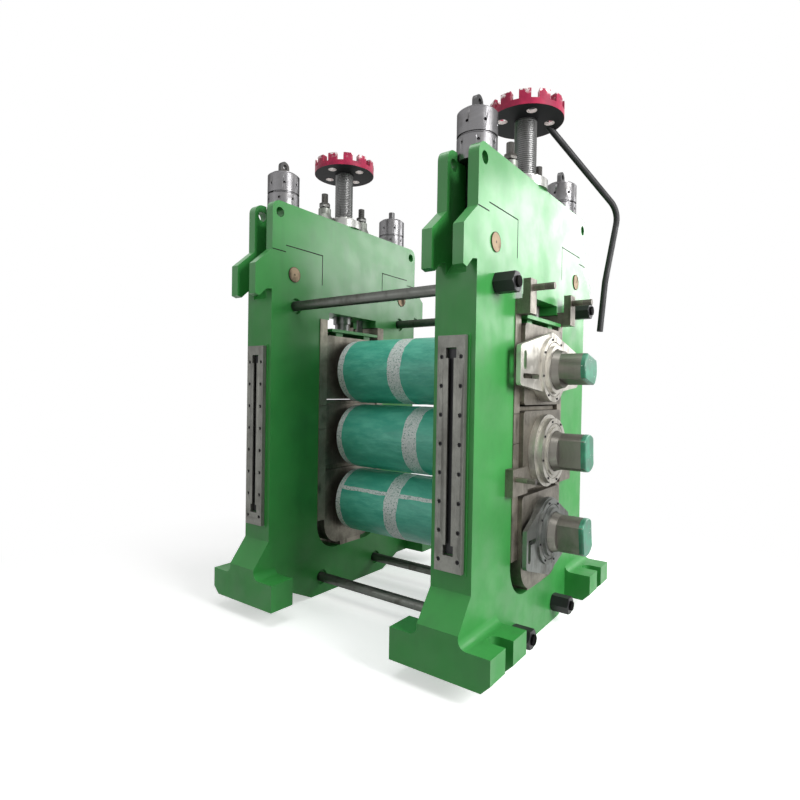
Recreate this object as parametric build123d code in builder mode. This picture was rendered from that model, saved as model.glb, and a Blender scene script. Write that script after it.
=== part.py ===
from build123d import *
import math
import os

os.makedirs("parts", exist_ok=True)

# A three-high rolling mill stand: two cast housings joined by four tie rods, each closed by a
# cap that swing bolts clamp down, with three rolls in chocks between the posts.
# X runs along the rolls with the drive side at +X, Y along the pass line, Z up.
# The origin is under the middle of the stand, on the underside of the lower beams.
# All lengths are in millimetres and all angles in degrees.

# Housings
housing_thickness = 226.0
post_half_width = 766.0
beam_half_width = 389.0
beam_slant_half_width = 577.0
window_half_width = 345.0
window_bottom = 300.0
window_corner_radius = 190.0

# Feet
foot_seat_height = 90.0
foot_half_length = 880.0
foot_front_height = 221.0
foot_slope_height = 370.0
wing_reach = 163.0
wing_height = 162.0
wing_fillet = 42.0
prong_length = 150.0
inner_prong_length = 170.0
foot_bolt_slot_width = 85.0
foot_bolt_slot_depth = 113.0
prong_bevel = 45.0

# Rolls
roll_spacing = 460.0
barrel_radius = 215.0
barrel_length = 1100.0
barrel_end_gap = 50.5
neck_radius = 125.0
neck_end_radius = 112.0
wobbler_radius = 102.5
wobbler_flats = 142.0
wobbler_gap = 39.5
wobbler_length = 147.0
top_wobbler_angle = 78.0
middle_wobbler_angle = 5.0
bottom_wobbler_angle = 10.0
wobbler_chamfer = 6.0

# Film wrap on the rolls
film_thickness = 2.7
film_clearance = 0.3

# Chocks
chock_half_width = 275.0
chock_drop = 200.0
chock_rise = 227.0
bottom_chock_drop = 298.0
top_chock_rise = 242.0
chock_proud = 30.0
chock_corner_radius = 26.0
bottom_chock_corner_radius = 150.0
neck_running_clearance = 0.05
chock_slide_clearance = 0.5
seat_plate_thickness = 30.0
seat_plate_half_width = 110.0

# Window liners
liner_proud = 6.0
liner_base_gap = 24.0
liner_top_gap = 1.5
liner_split_heights = (1140.0, 1300.0)
liner_split_width = 3.0
shoulder_reach = 70.0
shoulder_height = 29.0
shoulder_inset = 60.0

# Bearing covers, with heights from the axis of their roll
cover_standoff = 24.0
cover_thickness = 24.0
top_cover_half_width = 435.0
top_cover_crest = 211.0
top_cover_end_top = 111.0
top_cover_end_bottom = -94.0
top_cover_keel = -140.0
top_cover_slot_offset = 377.0
top_cover_slot_top = 86.0
top_cover_slot_bottom = -14.0
top_cover_cross_slot_reach = 400.0
top_cover_cross_slot_height = -46.0
bottom_cover_half_width = 313.0
bottom_cover_crest = 216.0
bottom_cover_end_top = 55.0
bottom_cover_end_bottom = -149.0
bottom_cover_keel = -250.0
bottom_cover_slot_offset = 275.0
bottom_cover_slot_top = 5.0
bottom_cover_slot_bottom = -122.0
bottom_cover_cross_slot_reach = 286.0
bottom_cover_cross_slot_height = -12.0
cover_corner_radius = 25.0
cover_crest_radius = 190.0
cover_slot_width = 34.0
cover_cross_slot_root = 6.0
cover_cross_slot_width = 26.0
cover_ring_radius = 184.0
cover_ring_height = 14.0
cover_groove_radius = 152.0
cover_groove_width = 5.0
cover_groove_depth = 6.0
cover_seal_radius = 136.0
cover_seal_height = 17.0
seal_clearance = 3.0
middle_flange_radius = 205.0
middle_flange_thickness = 34.0
middle_ring_height = 35.0

# Roll balance over the top chocks
beam_plate_thickness = 20.0
beam_pad_height = 26.0
beam_half_length = 250.0
beam_inner_overhang = 23.0
beam_pad_width = 70.0
beam_pad_offset = 150.0
balance_rod_radius = 23.0
balance_rod_offset = 200.0
balance_rod_rise = 210.0
balance_rod_socket = 12.0
balance_nut_flats = 68.0
balance_nut_height = 30.0
balance_nut_gap = 10.0
spring_cup_height = 104.0
spring_cup_base_radius = 63.0
spring_cup_top_radius = 44.0
spring_cup_flare_height = 62.0
rod_clearance = 5.0
fixed_clearance = 0.3

# Caps
screw_headroom = 111.0
cap_seam_rise = 333.0
cap_step_height = 42.0
cap_step_half_width = 655.0
cap_height = 310.0
plug_half_width = 330.0
plug_recess_half_width = 256.0
plug_leg_drop = 52.0
cap_corner_radius = 60.0
seam_groove = 3.0
seam_groove_length = 200.0
lifting_hole_radius = 31.0
lifting_hole_offset = 706.0
lifting_hole_drop = 71.0

# Lugs at the tops of the posts
lug_projection = 127.0
lug_shoulder_drop = 110.0
lug_tip_drop = 294.0
lug_hook_inset = 32.0
lug_hook_drop = 303.0
lug_notch_inset = 84.0
lug_notch_drop = 255.0
lug_root_drop = 249.0
lug_root_projection = 12.0

# Swing bolts that clamp the caps
bolt_offset = 583.0
bolt_slot_width = 112.0
bolt_slot_inner = 478.0
bolt_slot_floor_drop = 230.0
bolt_slot_ramp = 76.0
hinge_pin_radius = 49.0
hinge_pin_drop = 131.0
hinge_pin_proud = 5.0
swing_bolt_radius = 50.0
swing_bolt_eye_radius = 92.0
swing_bolt_side_clearance = 4.0
clamp_nut_radius = 102.5
clamp_nut_counterbore = 40.0
clamp_nut_counterbore_clearance = 6.0
lower_nut_height = 130.0
upper_nut_height = 131.0
nut_neck_height = 7.0
nut_neck_depth = 6.0
nut_hub_height = 12.0
nut_hub_depth = 22.5
nut_chamfer = 5.0
lifting_eye_width = 70.0
lifting_eye_thickness = 26.0
lifting_eye_height = 84.0
lifting_eye_hole_radius = 16.0
stud_tip_radius = 24.0
stud_tip_height = 67.0

# Tie rods
tie_rod_radius = 31.0
tie_rod_end_radius = 28.0
tie_rod_recess_radius = 50.0
tie_rod_recess_depth = 15.0
upper_tie_rod_offset = 562.0
upper_tie_rod_rise = 3.0
lower_tie_rod_offset = 292.0
lower_tie_rod_height = 118.0
tie_nut_flats = 96.0
tie_nut_height = 112.0
tie_stud_end = 12.0
tie_nut_chamfer_angle = 30.0

# Rest rails on the narrow faces
rail_width = 150.0
rail_thickness = 24.0
rail_pad_thickness = 6.0
rail_pad_margin = 10.0
rail_height = 1122.0
rail_lift = 98.0
rail_slot_width = 30.0
rail_slot_lip = 11.0
rail_chamber_width = 57.0
rail_slot_bottom_margin = 77.0
rail_slot_top_margin = 57.0
rail_entry_height = 50.0

# Adjusting screws and their wheels
screw_radius = 65.0
screw_tip_radius = 52.0
screw_tip_length = 60.0
screw_exposed = 405.0
screw_spigot_radius = 45.0
screw_spigot_rise = 19.0
screw_nut_clearance = 1.5
screw_nut_outer_radius = 95.0
screw_nut_depth = 330.0
screw_nut_flange_radius = 131.0
screw_nut_flange_height = 54.0
screw_nut_collar_radius = 78.0
screw_nut_collar_height = 28.0
screw_lower_bore_radius = 75.0
wheel_radius = 216.0
wheel_height = 85.0
wheel_rim_width = 44.0
wheel_web_thickness = 20.0
wheel_hub_radius = 82.0
wheel_hub_height = 52.0
wheel_slot_count = 12
wheel_slot_width = 46.0
wheel_slot_depth = 51.0
wheel_hole_radius = 28.0
wheel_hole_count = 4
wheel_hole_circle_radius = 138.0
near_wheel_angle = 37.0
far_wheel_angle = 4.0

# Turning bar in the near wheel
bar_radius = 19.0
bar_angle = 61.0
bar_start_radius = 140.0
bar_start_rise = 32.0
bar_bend_radius_from_screw = 743.0
bar_bend_drop = 405.0
bar_knee_radius_from_screw = 641.0
bar_knee_drop = 868.0
bar_end_radius_from_screw = 606.0
bar_end_drop = 1184.0
bar_bend_fillet = 130.0
bar_knee_fillet = 90.0
bar_hole_length = 130.0

# Keepers on the housing faces
keeper_reach = 84.0
keeper_post_thickness = 42.0
keeper_inner = 262.0
keeper_outer = 342.0
keeper_lift = 38.0
keeper_foot_height = 80.0
keeper_height = 182.0
keeper_seat_gap = 1.0
keeper_stud_radius = 18.0
keeper_stud_length = 115.0
keeper_stud_drop = 46.0
strap_reach = 44.0
strap_inner = 240.0
strap_foot_inner = 352.0
strap_outer = 425.0
strap_height = 143.0
strap_drop = 213.0
strap_stud_radius = 14.0
strap_stud_length = 112.0
strap_stud_inset = 30.0
strap_stud_rise = 91.0

# Heights and places that follow from the sizes above
housing_spacing = barrel_length + 2 * barrel_end_gap + housing_thickness
housing_x = housing_spacing / 2
outer_face = housing_x + housing_thickness / 2
inner_face = housing_x - housing_thickness / 2
bottom_roll_z = window_bottom + seat_plate_thickness + bottom_chock_drop
middle_roll_z = bottom_roll_z + roll_spacing
top_roll_z = middle_roll_z + roll_spacing
top_chock_top = top_roll_z + top_chock_rise
beam_top = top_chock_top + beam_pad_height + beam_plate_thickness
window_top = beam_top + screw_headroom
plug_leg_bottom = window_top - plug_leg_drop
seam_outer = window_top + cap_seam_rise
seam_inner = seam_outer + cap_step_height
cap_top = seam_outer + cap_height
hinge_z = seam_outer - hinge_pin_drop
lug_reach = post_half_width + lug_projection
lug_hook_reach = lug_reach - lug_hook_inset
lug_notch_reach = lug_reach - lug_notch_inset
lug_root_reach = post_half_width + lug_root_projection
nut_seat = cap_top - clamp_nut_counterbore
nut_split = nut_seat + lower_nut_height
nut_top = nut_split + upper_nut_height
upper_tie_rod_z = window_top + upper_tie_rod_rise
wing_top = foot_seat_height + wing_height
rail_bottom = foot_seat_height + foot_slope_height + rail_lift
rail_top = rail_bottom + rail_height
rail_seat = post_half_width + rail_pad_thickness
wheel_bottom = cap_top + screw_exposed
wheel_top = wheel_bottom + wheel_height
chock_outer_face = outer_face + chock_proud
cover_back = chock_outer_face + cover_standoff
cover_face = cover_back + cover_thickness
ring_face = cover_face + cover_ring_height
seal_face = ring_face + cover_seal_height
wobbler_start = seal_face + wobbler_gap
wobbler_end = wobbler_start + wobbler_length
middle_flange_face = chock_outer_face + middle_flange_thickness
middle_ring_face = middle_flange_face + middle_ring_height
cup_top = cap_top + spring_cup_height
balance_nut_seat = cup_top + balance_nut_gap
tie_nut_end = outer_face + tie_nut_height
tie_rod_end = tie_nut_end + tie_stud_end

tie_rod_places = (
    (upper_tie_rod_offset, upper_tie_rod_z),
    (lower_tie_rod_offset, lower_tie_rod_height),
)

pieces = {}


def keep(name, piece):
    """Put a finished piece on the list of nodes."""
    pieces[name] = piece


def keep_pair(name, piece):
    """Keep a near piece and its mirror image on the far housing."""
    keep("near_" + name, piece)
    with BuildPart() as far_piece:
        mirror(piece, about=Plane.YZ)
    keep("far_" + name, far_piece.part)


def keep_together(name, piece):
    """Keep the near pieces and their mirror images as separate solids of one node."""
    with BuildPart() as both:
        add(piece)
        mirror(piece, about=Plane.YZ)
    keep(name, both.part)


def hex_nut_profile(across_flats, height):
    """Revolve that rounds the corners of a hexagon nut of this size, about Z from 0."""
    corner = across_flats / math.sqrt(3)
    flat = across_flats / 2
    slope = (corner - flat) * math.tan(math.radians(tie_nut_chamfer_angle))
    with BuildPart() as envelope:
        with BuildSketch(Plane.XZ):
            with BuildLine():
                Polyline(
                    (0, 0),
                    (flat, 0),
                    (corner, slope),
                    (corner, height - slope),
                    (flat, height),
                    (0, height),
                    close=True,
                )
            make_face()
        revolve(axis=Axis.Z)
    return envelope.part


def hex_nut(across_flats, height, bore_radius):
    """A hexagon nut that stands on the XY plane about the Z axis."""
    with BuildPart() as nut:
        with BuildSketch():
            RegularPolygon(across_flats / math.sqrt(3), 6)
            Circle(bore_radius, mode=Mode.SUBTRACT)
        extrude(amount=height)
        add(hex_nut_profile(across_flats, height), mode=Mode.INTERSECT)
    return nut.part


# Housing: a closed frame in the YZ plane with feet, lugs and slots for the swing bolts
with BuildPart() as near_housing:
    with BuildSketch(Plane.YZ.offset(housing_x)):
        with BuildLine():
            Polyline(
                (0, 0),
                (beam_half_width, 0),
                (beam_slant_half_width, foot_seat_height),
                (foot_half_length, foot_seat_height),
                (foot_half_length, foot_seat_height + foot_front_height),
                (post_half_width, foot_seat_height + foot_slope_height),
                (post_half_width, seam_outer - lug_root_drop),
                (lug_root_reach, seam_outer - lug_root_drop),
                (lug_notch_reach, seam_outer - lug_notch_drop),
                (lug_hook_reach, seam_outer - lug_hook_drop),
                (lug_reach, seam_outer - lug_tip_drop),
                (lug_reach, seam_outer - lug_shoulder_drop),
                (post_half_width, seam_outer),
                (cap_step_half_width, seam_outer),
                (cap_step_half_width, seam_inner),
                (0, seam_inner),
                close=True,
            )
        make_face()
    extrude(amount=housing_thickness / 2, both=True)

    # Window, and above it the space for the plug of the cap
    with BuildSketch(Plane.YZ.offset(housing_x)) as window:
        with Locations((0, (window_bottom + plug_leg_bottom) / 2)):
            Rectangle(2 * window_half_width, plug_leg_bottom - window_bottom)
        fillet(window.vertices().group_by(Axis.Y)[0], window_corner_radius)
        with Locations((0, (plug_leg_bottom + seam_inner) / 2)):
            Rectangle(2 * plug_half_width, seam_inner - plug_leg_bottom)
    extrude(amount=housing_thickness / 2, both=True, mode=Mode.SUBTRACT)

    # Foot wing with two prongs on the outer side
    with BuildSketch(Plane.XZ.offset(-foot_half_length)):
        with BuildLine():
            tip = outer_face + wing_reach
            Polyline(
                (outer_face + wing_fillet, wing_top),
                (tip, wing_top),
                (tip, foot_seat_height + prong_bevel),
                (tip - prong_bevel, foot_seat_height),
                (housing_x, foot_seat_height),
                (housing_x, wing_top + wing_fillet),
                (outer_face, wing_top + wing_fillet),
            )
            CenterArc(
                (outer_face + wing_fillet, wing_top + wing_fillet),
                wing_fillet,
                180,
                90,
            )
        make_face()
    extrude(amount=2 * prong_length + foot_bolt_slot_width)

    # Slot for the foot bolt between the prongs, open outwards
    slot_y = foot_half_length - prong_length - foot_bolt_slot_width / 2
    slot_root = outer_face + wing_reach - foot_bolt_slot_depth + foot_bolt_slot_width / 2
    with BuildSketch(Plane.XY.offset(foot_seat_height)):
        with Locations((slot_root, slot_y)):
            Circle(foot_bolt_slot_width / 2)
        with Locations((slot_root + wing_reach / 2, slot_y)):
            Rectangle(wing_reach, foot_bolt_slot_width)
    extrude(amount=wing_height + wing_fillet, mode=Mode.SUBTRACT)

    # One prong on the inner side
    with BuildSketch(Plane.XZ.offset(-foot_half_length)):
        with BuildLine():
            inner_tip = inner_face - wing_reach
            Polyline(
                (inner_face - wing_fillet, wing_top),
                (inner_tip, wing_top),
                (inner_tip, foot_seat_height),
                (housing_x, foot_seat_height),
                (housing_x, wing_top + wing_fillet),
                (inner_face, wing_top + wing_fillet),
            )
            CenterArc(
                (inner_face - wing_fillet, wing_top + wing_fillet),
                wing_fillet,
                270,
                90,
            )
        make_face()
    extrude(amount=inner_prong_length)

    # Slot that the swing bolt stands in, open outwards and down through the lug
    with BuildSketch(Plane.YZ.offset(housing_x)):
        with BuildLine():
            Polyline(
                (bolt_slot_inner, seam_outer - bolt_slot_floor_drop),
                (post_half_width - bolt_slot_ramp, seam_outer - bolt_slot_floor_drop),
                (post_half_width, seam_outer - lug_hook_drop),
                (post_half_width, seam_outer - lug_hook_drop - bolt_slot_ramp),
                (lug_reach + bolt_slot_ramp, seam_outer - lug_hook_drop - bolt_slot_ramp),
                (lug_reach + bolt_slot_ramp, seam_inner + cap_step_height),
                (bolt_slot_inner, seam_inner + cap_step_height),
                close=True,
            )
        make_face()
    extrude(amount=bolt_slot_width / 2, both=True, mode=Mode.SUBTRACT)

    # Holes for the hinge pin and the tie rods
    with BuildSketch(Plane.YZ.offset(housing_x)):
        with Locations((bolt_offset, hinge_z)):
            Circle(hinge_pin_radius + fixed_clearance)
        with Locations(*tie_rod_places):
            Circle(tie_rod_end_radius + fixed_clearance)
    extrude(amount=housing_thickness / 2, both=True, mode=Mode.SUBTRACT)
    with BuildSketch(Plane.YZ.offset(inner_face)):
        with Locations(*tie_rod_places):
            Circle(tie_rod_recess_radius)
    extrude(amount=tie_rod_recess_depth, mode=Mode.SUBTRACT)

    # Raised pad behind the rest rail
    with BuildSketch(Plane.XZ.offset(-post_half_width)):
        with Locations((housing_x, (rail_bottom + rail_top) / 2)):
            Rectangle(
                rail_width + 2 * rail_pad_margin,
                rail_height + 2 * rail_pad_margin,
            )
    extrude(amount=-rail_pad_thickness)
    mirror(about=Plane.XZ)
keep_pair("housing", near_housing.part)


# Cap with a plug between the posts, slots for the swing bolts and bores for screw and rods
with BuildPart() as near_cap:
    with BuildSketch(Plane.YZ.offset(housing_x)) as cap_outline:
        with BuildLine():
            Polyline(
                (0, window_top),
                (plug_recess_half_width, window_top),
                (plug_recess_half_width, plug_leg_bottom),
                (plug_half_width - fixed_clearance, plug_leg_bottom),
                (plug_half_width - fixed_clearance, seam_inner),
                (cap_step_half_width, seam_inner),
                (cap_step_half_width, seam_outer),
                (post_half_width, seam_outer),
                (post_half_width, cap_top),
                (0, cap_top),
                close=True,
            )
        make_face()
        fillet(
            cap_outline.vertices().group_by(Axis.X)[-1].sort_by(Axis.Y)[-1],
            cap_corner_radius,
        )
    extrude(amount=housing_thickness / 2, both=True)

    # Fine seams where the cap meets the posts
    for face in (outer_face, inner_face):
        with BuildSketch(Plane.YZ.offset(face)):
            with Locations((cap_step_half_width, seam_outer)):
                Rectangle(
                    post_half_width - cap_step_half_width,
                    seam_groove,
                    align=(Align.MIN, Align.MIN),
                )
            with Locations((plug_half_width, seam_inner)):
                Rectangle(
                    cap_step_half_width - plug_half_width,
                    seam_groove,
                    align=(Align.MIN, Align.MIN),
                )
            with Locations((plug_half_width, seam_inner - seam_groove_length)):
                Rectangle(
                    seam_groove,
                    seam_groove_length,
                    align=(Align.MAX, Align.MIN),
                )
        extrude(amount=seam_groove, both=True, mode=Mode.SUBTRACT)

    with BuildSketch(Plane.YZ.offset(housing_x)):
        with Locations((bolt_slot_inner, seam_outer)):
            Rectangle(
                post_half_width,
                cap_height,
                align=(Align.MIN, Align.MIN),
            )
    extrude(amount=bolt_slot_width / 2, both=True, mode=Mode.SUBTRACT)

    with BuildSketch(Plane.YZ.offset(housing_x)):
        with Locations((lifting_hole_offset, cap_top - lifting_hole_drop)):
            Circle(lifting_hole_radius)
    extrude(amount=housing_thickness / 2, both=True, mode=Mode.SUBTRACT)

    with BuildSketch(Plane.XY.offset(nut_seat)):
        with Locations((housing_x, bolt_offset)):
            Circle(clamp_nut_radius + clamp_nut_counterbore_clearance)
    extrude(amount=clamp_nut_counterbore, mode=Mode.SUBTRACT)

    with BuildSketch(Plane.XY.offset(window_top)):
        with Locations((housing_x, balance_rod_offset)):
            Circle(balance_rod_radius + rod_clearance)
    extrude(amount=cap_top - window_top, mode=Mode.SUBTRACT)
    mirror(about=Plane.XZ)

    with BuildSketch(Plane.XY.offset(window_top)):
        with Locations((housing_x, 0)):
            Circle(screw_lower_bore_radius)
    extrude(amount=cap_top - window_top, mode=Mode.SUBTRACT)
    with BuildSketch(Plane.XY.offset(cap_top - screw_nut_depth)):
        with Locations((housing_x, 0)):
            Circle(screw_nut_outer_radius + fixed_clearance)
    extrude(amount=screw_nut_depth, mode=Mode.SUBTRACT)
keep_pair("cap", near_cap.part)


# Hinge pins across the slots in the lugs
with BuildPart() as near_hinge_pins:
    with BuildSketch(Plane.YZ.offset(housing_x)):
        with Locations((bolt_offset, hinge_z), (-bolt_offset, hinge_z)):
            Circle(hinge_pin_radius)
    extrude(amount=housing_thickness / 2 + hinge_pin_proud, both=True)
keep_together("hinge_pins", near_hinge_pins.part)


def swing_bolt(y, with_eye):
    """A swing bolt on its hinge pin at this Y, with a lifting eye or a plain tip on top."""
    eye_width = bolt_slot_width - 2 * swing_bolt_side_clearance
    with BuildPart() as bolt:
        with BuildSketch(Plane.YZ.offset(housing_x)):
            with Locations((y, hinge_z)):
                Circle(swing_bolt_eye_radius)
        extrude(amount=eye_width / 2, both=True)
        with BuildSketch(Plane.XY.offset(hinge_z)):
            with Locations((housing_x, y)):
                Circle(swing_bolt_radius)
        extrude(amount=nut_top - hinge_z)
        with BuildSketch(Plane.YZ.offset(housing_x)):
            with Locations((y, hinge_z)):
                Circle(hinge_pin_radius + fixed_clearance)
        extrude(amount=eye_width, both=True, mode=Mode.SUBTRACT)
        if with_eye:
            arch_centre = nut_top + lifting_eye_height - lifting_eye_width / 2
            with BuildSketch(Plane.YZ.offset(housing_x)):
                with Locations((y, nut_top)):
                    Rectangle(
                        lifting_eye_width,
                        arch_centre - nut_top,
                        align=(Align.CENTER, Align.MIN),
                    )
                with Locations((y, arch_centre)):
                    Circle(lifting_eye_width / 2)
                    Circle(lifting_eye_hole_radius, mode=Mode.SUBTRACT)
            extrude(amount=lifting_eye_thickness / 2, both=True)
        else:
            with BuildSketch(Plane.XY.offset(nut_top)):
                with Locations((housing_x, y)):
                    Circle(stud_tip_radius)
            extrude(amount=stud_tip_height)
    return bolt.part


# The rear bolt of the far housing ends in a plain tip, the others in lifting eyes
with BuildPart() as swing_bolts:
    add(swing_bolt(-bolt_offset, True))
    add(swing_bolt(bolt_offset, True))
    mirror(swing_bolt(-bolt_offset, True), about=Plane.YZ)
    mirror(swing_bolt(bolt_offset, False), about=Plane.YZ)
keep("swing_bolts", swing_bolts.part)


def clamp_nut(bottom, height, top_height, top_depth):
    """A round clamp nut about Z whose top is set in by top_depth over top_height."""
    with BuildPart() as nut:
        with BuildSketch(Plane.XY.offset(bottom)):
            Circle(clamp_nut_radius)
        extrude(amount=height - top_height)
        chamfer(nut.edges().group_by(Axis.Z)[-1], nut_chamfer)
        with BuildSketch(Plane.XY.offset(bottom + height - top_height)):
            Circle(clamp_nut_radius - top_depth)
        extrude(amount=top_height)
        with BuildSketch(Plane.XY.offset(bottom)):
            Circle(swing_bolt_radius + fixed_clearance)
        extrude(amount=height, mode=Mode.SUBTRACT)
    return nut.part


# Lower and upper clamp nuts stand in the counterbores of the cap
with BuildPart() as near_clamp_nuts:
    lower_height = lower_nut_height - fixed_clearance
    with Locations((housing_x, -bolt_offset), (housing_x, bolt_offset)):
        add(clamp_nut(nut_seat, lower_height, nut_neck_height, nut_neck_depth))
        add(clamp_nut(nut_split, upper_nut_height, nut_hub_height, nut_hub_depth))
keep_together("clamp_nuts", near_clamp_nuts.part)


def tie_rod_pair(offset, height):
    """Two tie rods across both housings, shouldered at the recesses in the inner faces."""
    shoulder = inner_face + tie_rod_recess_depth
    with BuildPart() as rods:
        with BuildSketch(Plane.YZ):
            with Locations((offset, height), (-offset, height)):
                Circle(tie_rod_radius)
        extrude(amount=shoulder, both=True)
        with BuildSketch(Plane.YZ):
            with Locations((offset, height), (-offset, height)):
                Circle(tie_rod_end_radius)
        extrude(amount=tie_rod_end, both=True)
    return rods.part


keep("upper_tie_rods", tie_rod_pair(upper_tie_rod_offset, upper_tie_rod_z))
keep("lower_tie_rods", tie_rod_pair(lower_tie_rod_offset, lower_tie_rod_height))

with BuildPart() as near_tie_nuts:
    tie_nut = hex_nut(tie_nut_flats, tie_nut_height, tie_rod_end_radius + fixed_clearance)
    for offset, height in tie_rod_places:
        for y in (-offset, offset):
            with Locations(Plane((outer_face, y, height), x_dir=(0, 1, 0), z_dir=(1, 0, 0))):
                add(tie_nut)
keep_together("tie_nuts", near_tie_nuts.part)


# Rest rails: plates with a T-slot on the narrow faces
with BuildPart() as near_rest_rails:
    with BuildSketch(Plane.XZ.offset(-rail_seat)):
        with Locations((housing_x, (rail_bottom + rail_top) / 2)):
            Rectangle(rail_width, rail_height)
    extrude(amount=-rail_thickness)
    slot_bottom = rail_bottom + rail_slot_bottom_margin
    slot_top = rail_top - rail_slot_top_margin
    with BuildSketch(Plane.XZ.offset(-rail_seat)):
        with Locations((housing_x, (slot_bottom + slot_top) / 2)):
            Rectangle(rail_slot_width, slot_top - slot_bottom)
        with Locations((housing_x, slot_bottom), (housing_x, slot_top - rail_entry_height)):
            Rectangle(
                rail_chamber_width,
                rail_entry_height,
                align=(Align.CENTER, Align.MIN),
            )
    extrude(amount=-rail_thickness, mode=Mode.SUBTRACT)
    with BuildSketch(Plane.XZ.offset(-rail_seat)):
        with Locations((housing_x, (slot_bottom + slot_top) / 2)):
            Rectangle(rail_chamber_width, slot_top - slot_bottom)
    extrude(amount=-(rail_thickness - rail_slot_lip), mode=Mode.SUBTRACT)
    mirror(about=Plane.XZ)
keep_pair("rest_rails", near_rest_rails.part)


# Window liners with a shoulder under the middle chock, and the seat plate of the bottom chock
with BuildPart() as near_window_liners:
    liner_face = chock_half_width + chock_slide_clearance
    middle_seat = middle_roll_z - chock_drop
    liner_bottom = window_bottom + window_corner_radius + liner_base_gap
    liner_top = plug_leg_bottom - liner_top_gap
    with BuildSketch(Plane.YZ.offset(inner_face - liner_proud)):
        with Locations((liner_face, liner_bottom)):
            Rectangle(
                window_half_width - liner_face,
                liner_top - liner_bottom,
                align=(Align.MIN, Align.MIN),
            )
        with Locations(*[(liner_face, split) for split in liner_split_heights]):
            Rectangle(
                window_half_width - liner_face,
                liner_split_width,
                align=(Align.MIN, Align.MIN),
                mode=Mode.SUBTRACT,
            )
    extrude(amount=housing_thickness + 2 * liner_proud)
    with BuildSketch(Plane.YZ.offset(inner_face + shoulder_inset)):
        with Locations((liner_face, middle_seat)):
            Rectangle(
                2 * shoulder_reach,
                shoulder_height,
                align=(Align.CENTER, Align.MAX),
            )
    extrude(amount=housing_thickness - 2 * shoulder_inset)
    with BuildSketch(Plane.YZ.offset(inner_face + shoulder_inset)):
        with Locations((window_half_width, middle_seat - shoulder_height)):
            Rectangle(
                window_half_width,
                window_half_width,
                align=(Align.MIN, Align.CENTER),
            )
    extrude(amount=housing_thickness - 2 * shoulder_inset, mode=Mode.SUBTRACT)
    mirror(about=Plane.XZ)
    with BuildSketch(Plane.YZ.offset(inner_face)):
        with Locations((0, window_bottom)):
            Rectangle(
                2 * seat_plate_half_width,
                seat_plate_thickness,
                align=(Align.CENTER, Align.MIN),
            )
    extrude(amount=housing_thickness)
keep_pair("window_liners", near_window_liners.part)


def chock(roll_z, drop, rise, lower_corner):
    """A roll chock: a block with a bore for the roll neck."""
    with BuildPart() as block:
        with BuildSketch(Plane.YZ.offset(inner_face)) as outline:
            with Locations((0, roll_z - drop)):
                Rectangle(
                    2 * chock_half_width,
                    drop + rise,
                    align=(Align.CENTER, Align.MIN),
                )
            fillet(outline.vertices().group_by(Axis.Y)[0], lower_corner)
            fillet(outline.vertices().group_by(Axis.Y)[-1], chock_corner_radius)
            with Locations((0, roll_z)):
                Circle(neck_radius + neck_running_clearance, mode=Mode.SUBTRACT)
        extrude(amount=housing_thickness + chock_proud)
    return block.part


keep_pair("top_chock", chock(top_roll_z, chock_drop, top_chock_rise, chock_corner_radius))
keep_pair("middle_chock", chock(middle_roll_z, chock_drop, chock_rise, chock_corner_radius))
keep_pair(
    "bottom_chock",
    chock(bottom_roll_z, bottom_chock_drop, chock_rise, bottom_chock_corner_radius),
)


def cover_rings(flange_face, ring_front, roll_z):
    """The ring with its groove and the raised seal seat, which ends level on every cover."""
    with BuildPart() as rings:
        with BuildSketch(Plane.YZ.offset(flange_face)):
            with Locations((0, roll_z)):
                Circle(cover_ring_radius)
        extrude(amount=ring_front - flange_face)
        with BuildSketch(Plane.YZ.offset(ring_front)):
            with Locations((0, roll_z)):
                Circle(cover_groove_radius + cover_groove_width)
                Circle(cover_groove_radius, mode=Mode.SUBTRACT)
        extrude(amount=-cover_groove_depth, mode=Mode.SUBTRACT)
        with BuildSketch(Plane.YZ.offset(ring_front)):
            with Locations((0, roll_z)):
                Circle(cover_seal_radius)
        extrude(amount=seal_face - ring_front)
    return rings.part


def cover_bore(roll_z):
    """The hole of a cover round the neck of its roll, as a solid to cut away."""
    with BuildPart() as bore:
        with BuildSketch(Plane.YZ.offset(chock_outer_face)):
            with Locations((0, roll_z)):
                Circle(neck_end_radius + seal_clearance)
        extrude(amount=seal_face - chock_outer_face)
    return bore.part


def winged_cover(roll_z, half_width, crest, end_top, end_bottom, keel, crest_radius):
    """A six-sided cover plate without its slots, with the ring and bore for its roll."""
    with BuildPart() as cover:
        with BuildSketch(Plane.YZ.offset(cover_back)) as plate:
            with BuildLine():
                Polyline(
                    (0, roll_z + crest),
                    (half_width, roll_z + end_top),
                    (half_width, roll_z + end_bottom),
                    (0, roll_z + keel),
                    (-half_width, roll_z + end_bottom),
                    (-half_width, roll_z + end_top),
                    close=True,
                )
            make_face()
            fillet(plate.vertices().group_by(Axis.X)[0], cover_corner_radius)
            fillet(plate.vertices().group_by(Axis.X)[-1], cover_corner_radius)
            fillet(plate.vertices().group_by(Axis.Y)[-1], crest_radius)
        extrude(amount=cover_thickness)
        add(cover_rings(chock_outer_face, ring_face, roll_z))
        add(cover_bore(roll_z), mode=Mode.SUBTRACT)
    return cover.part


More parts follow.
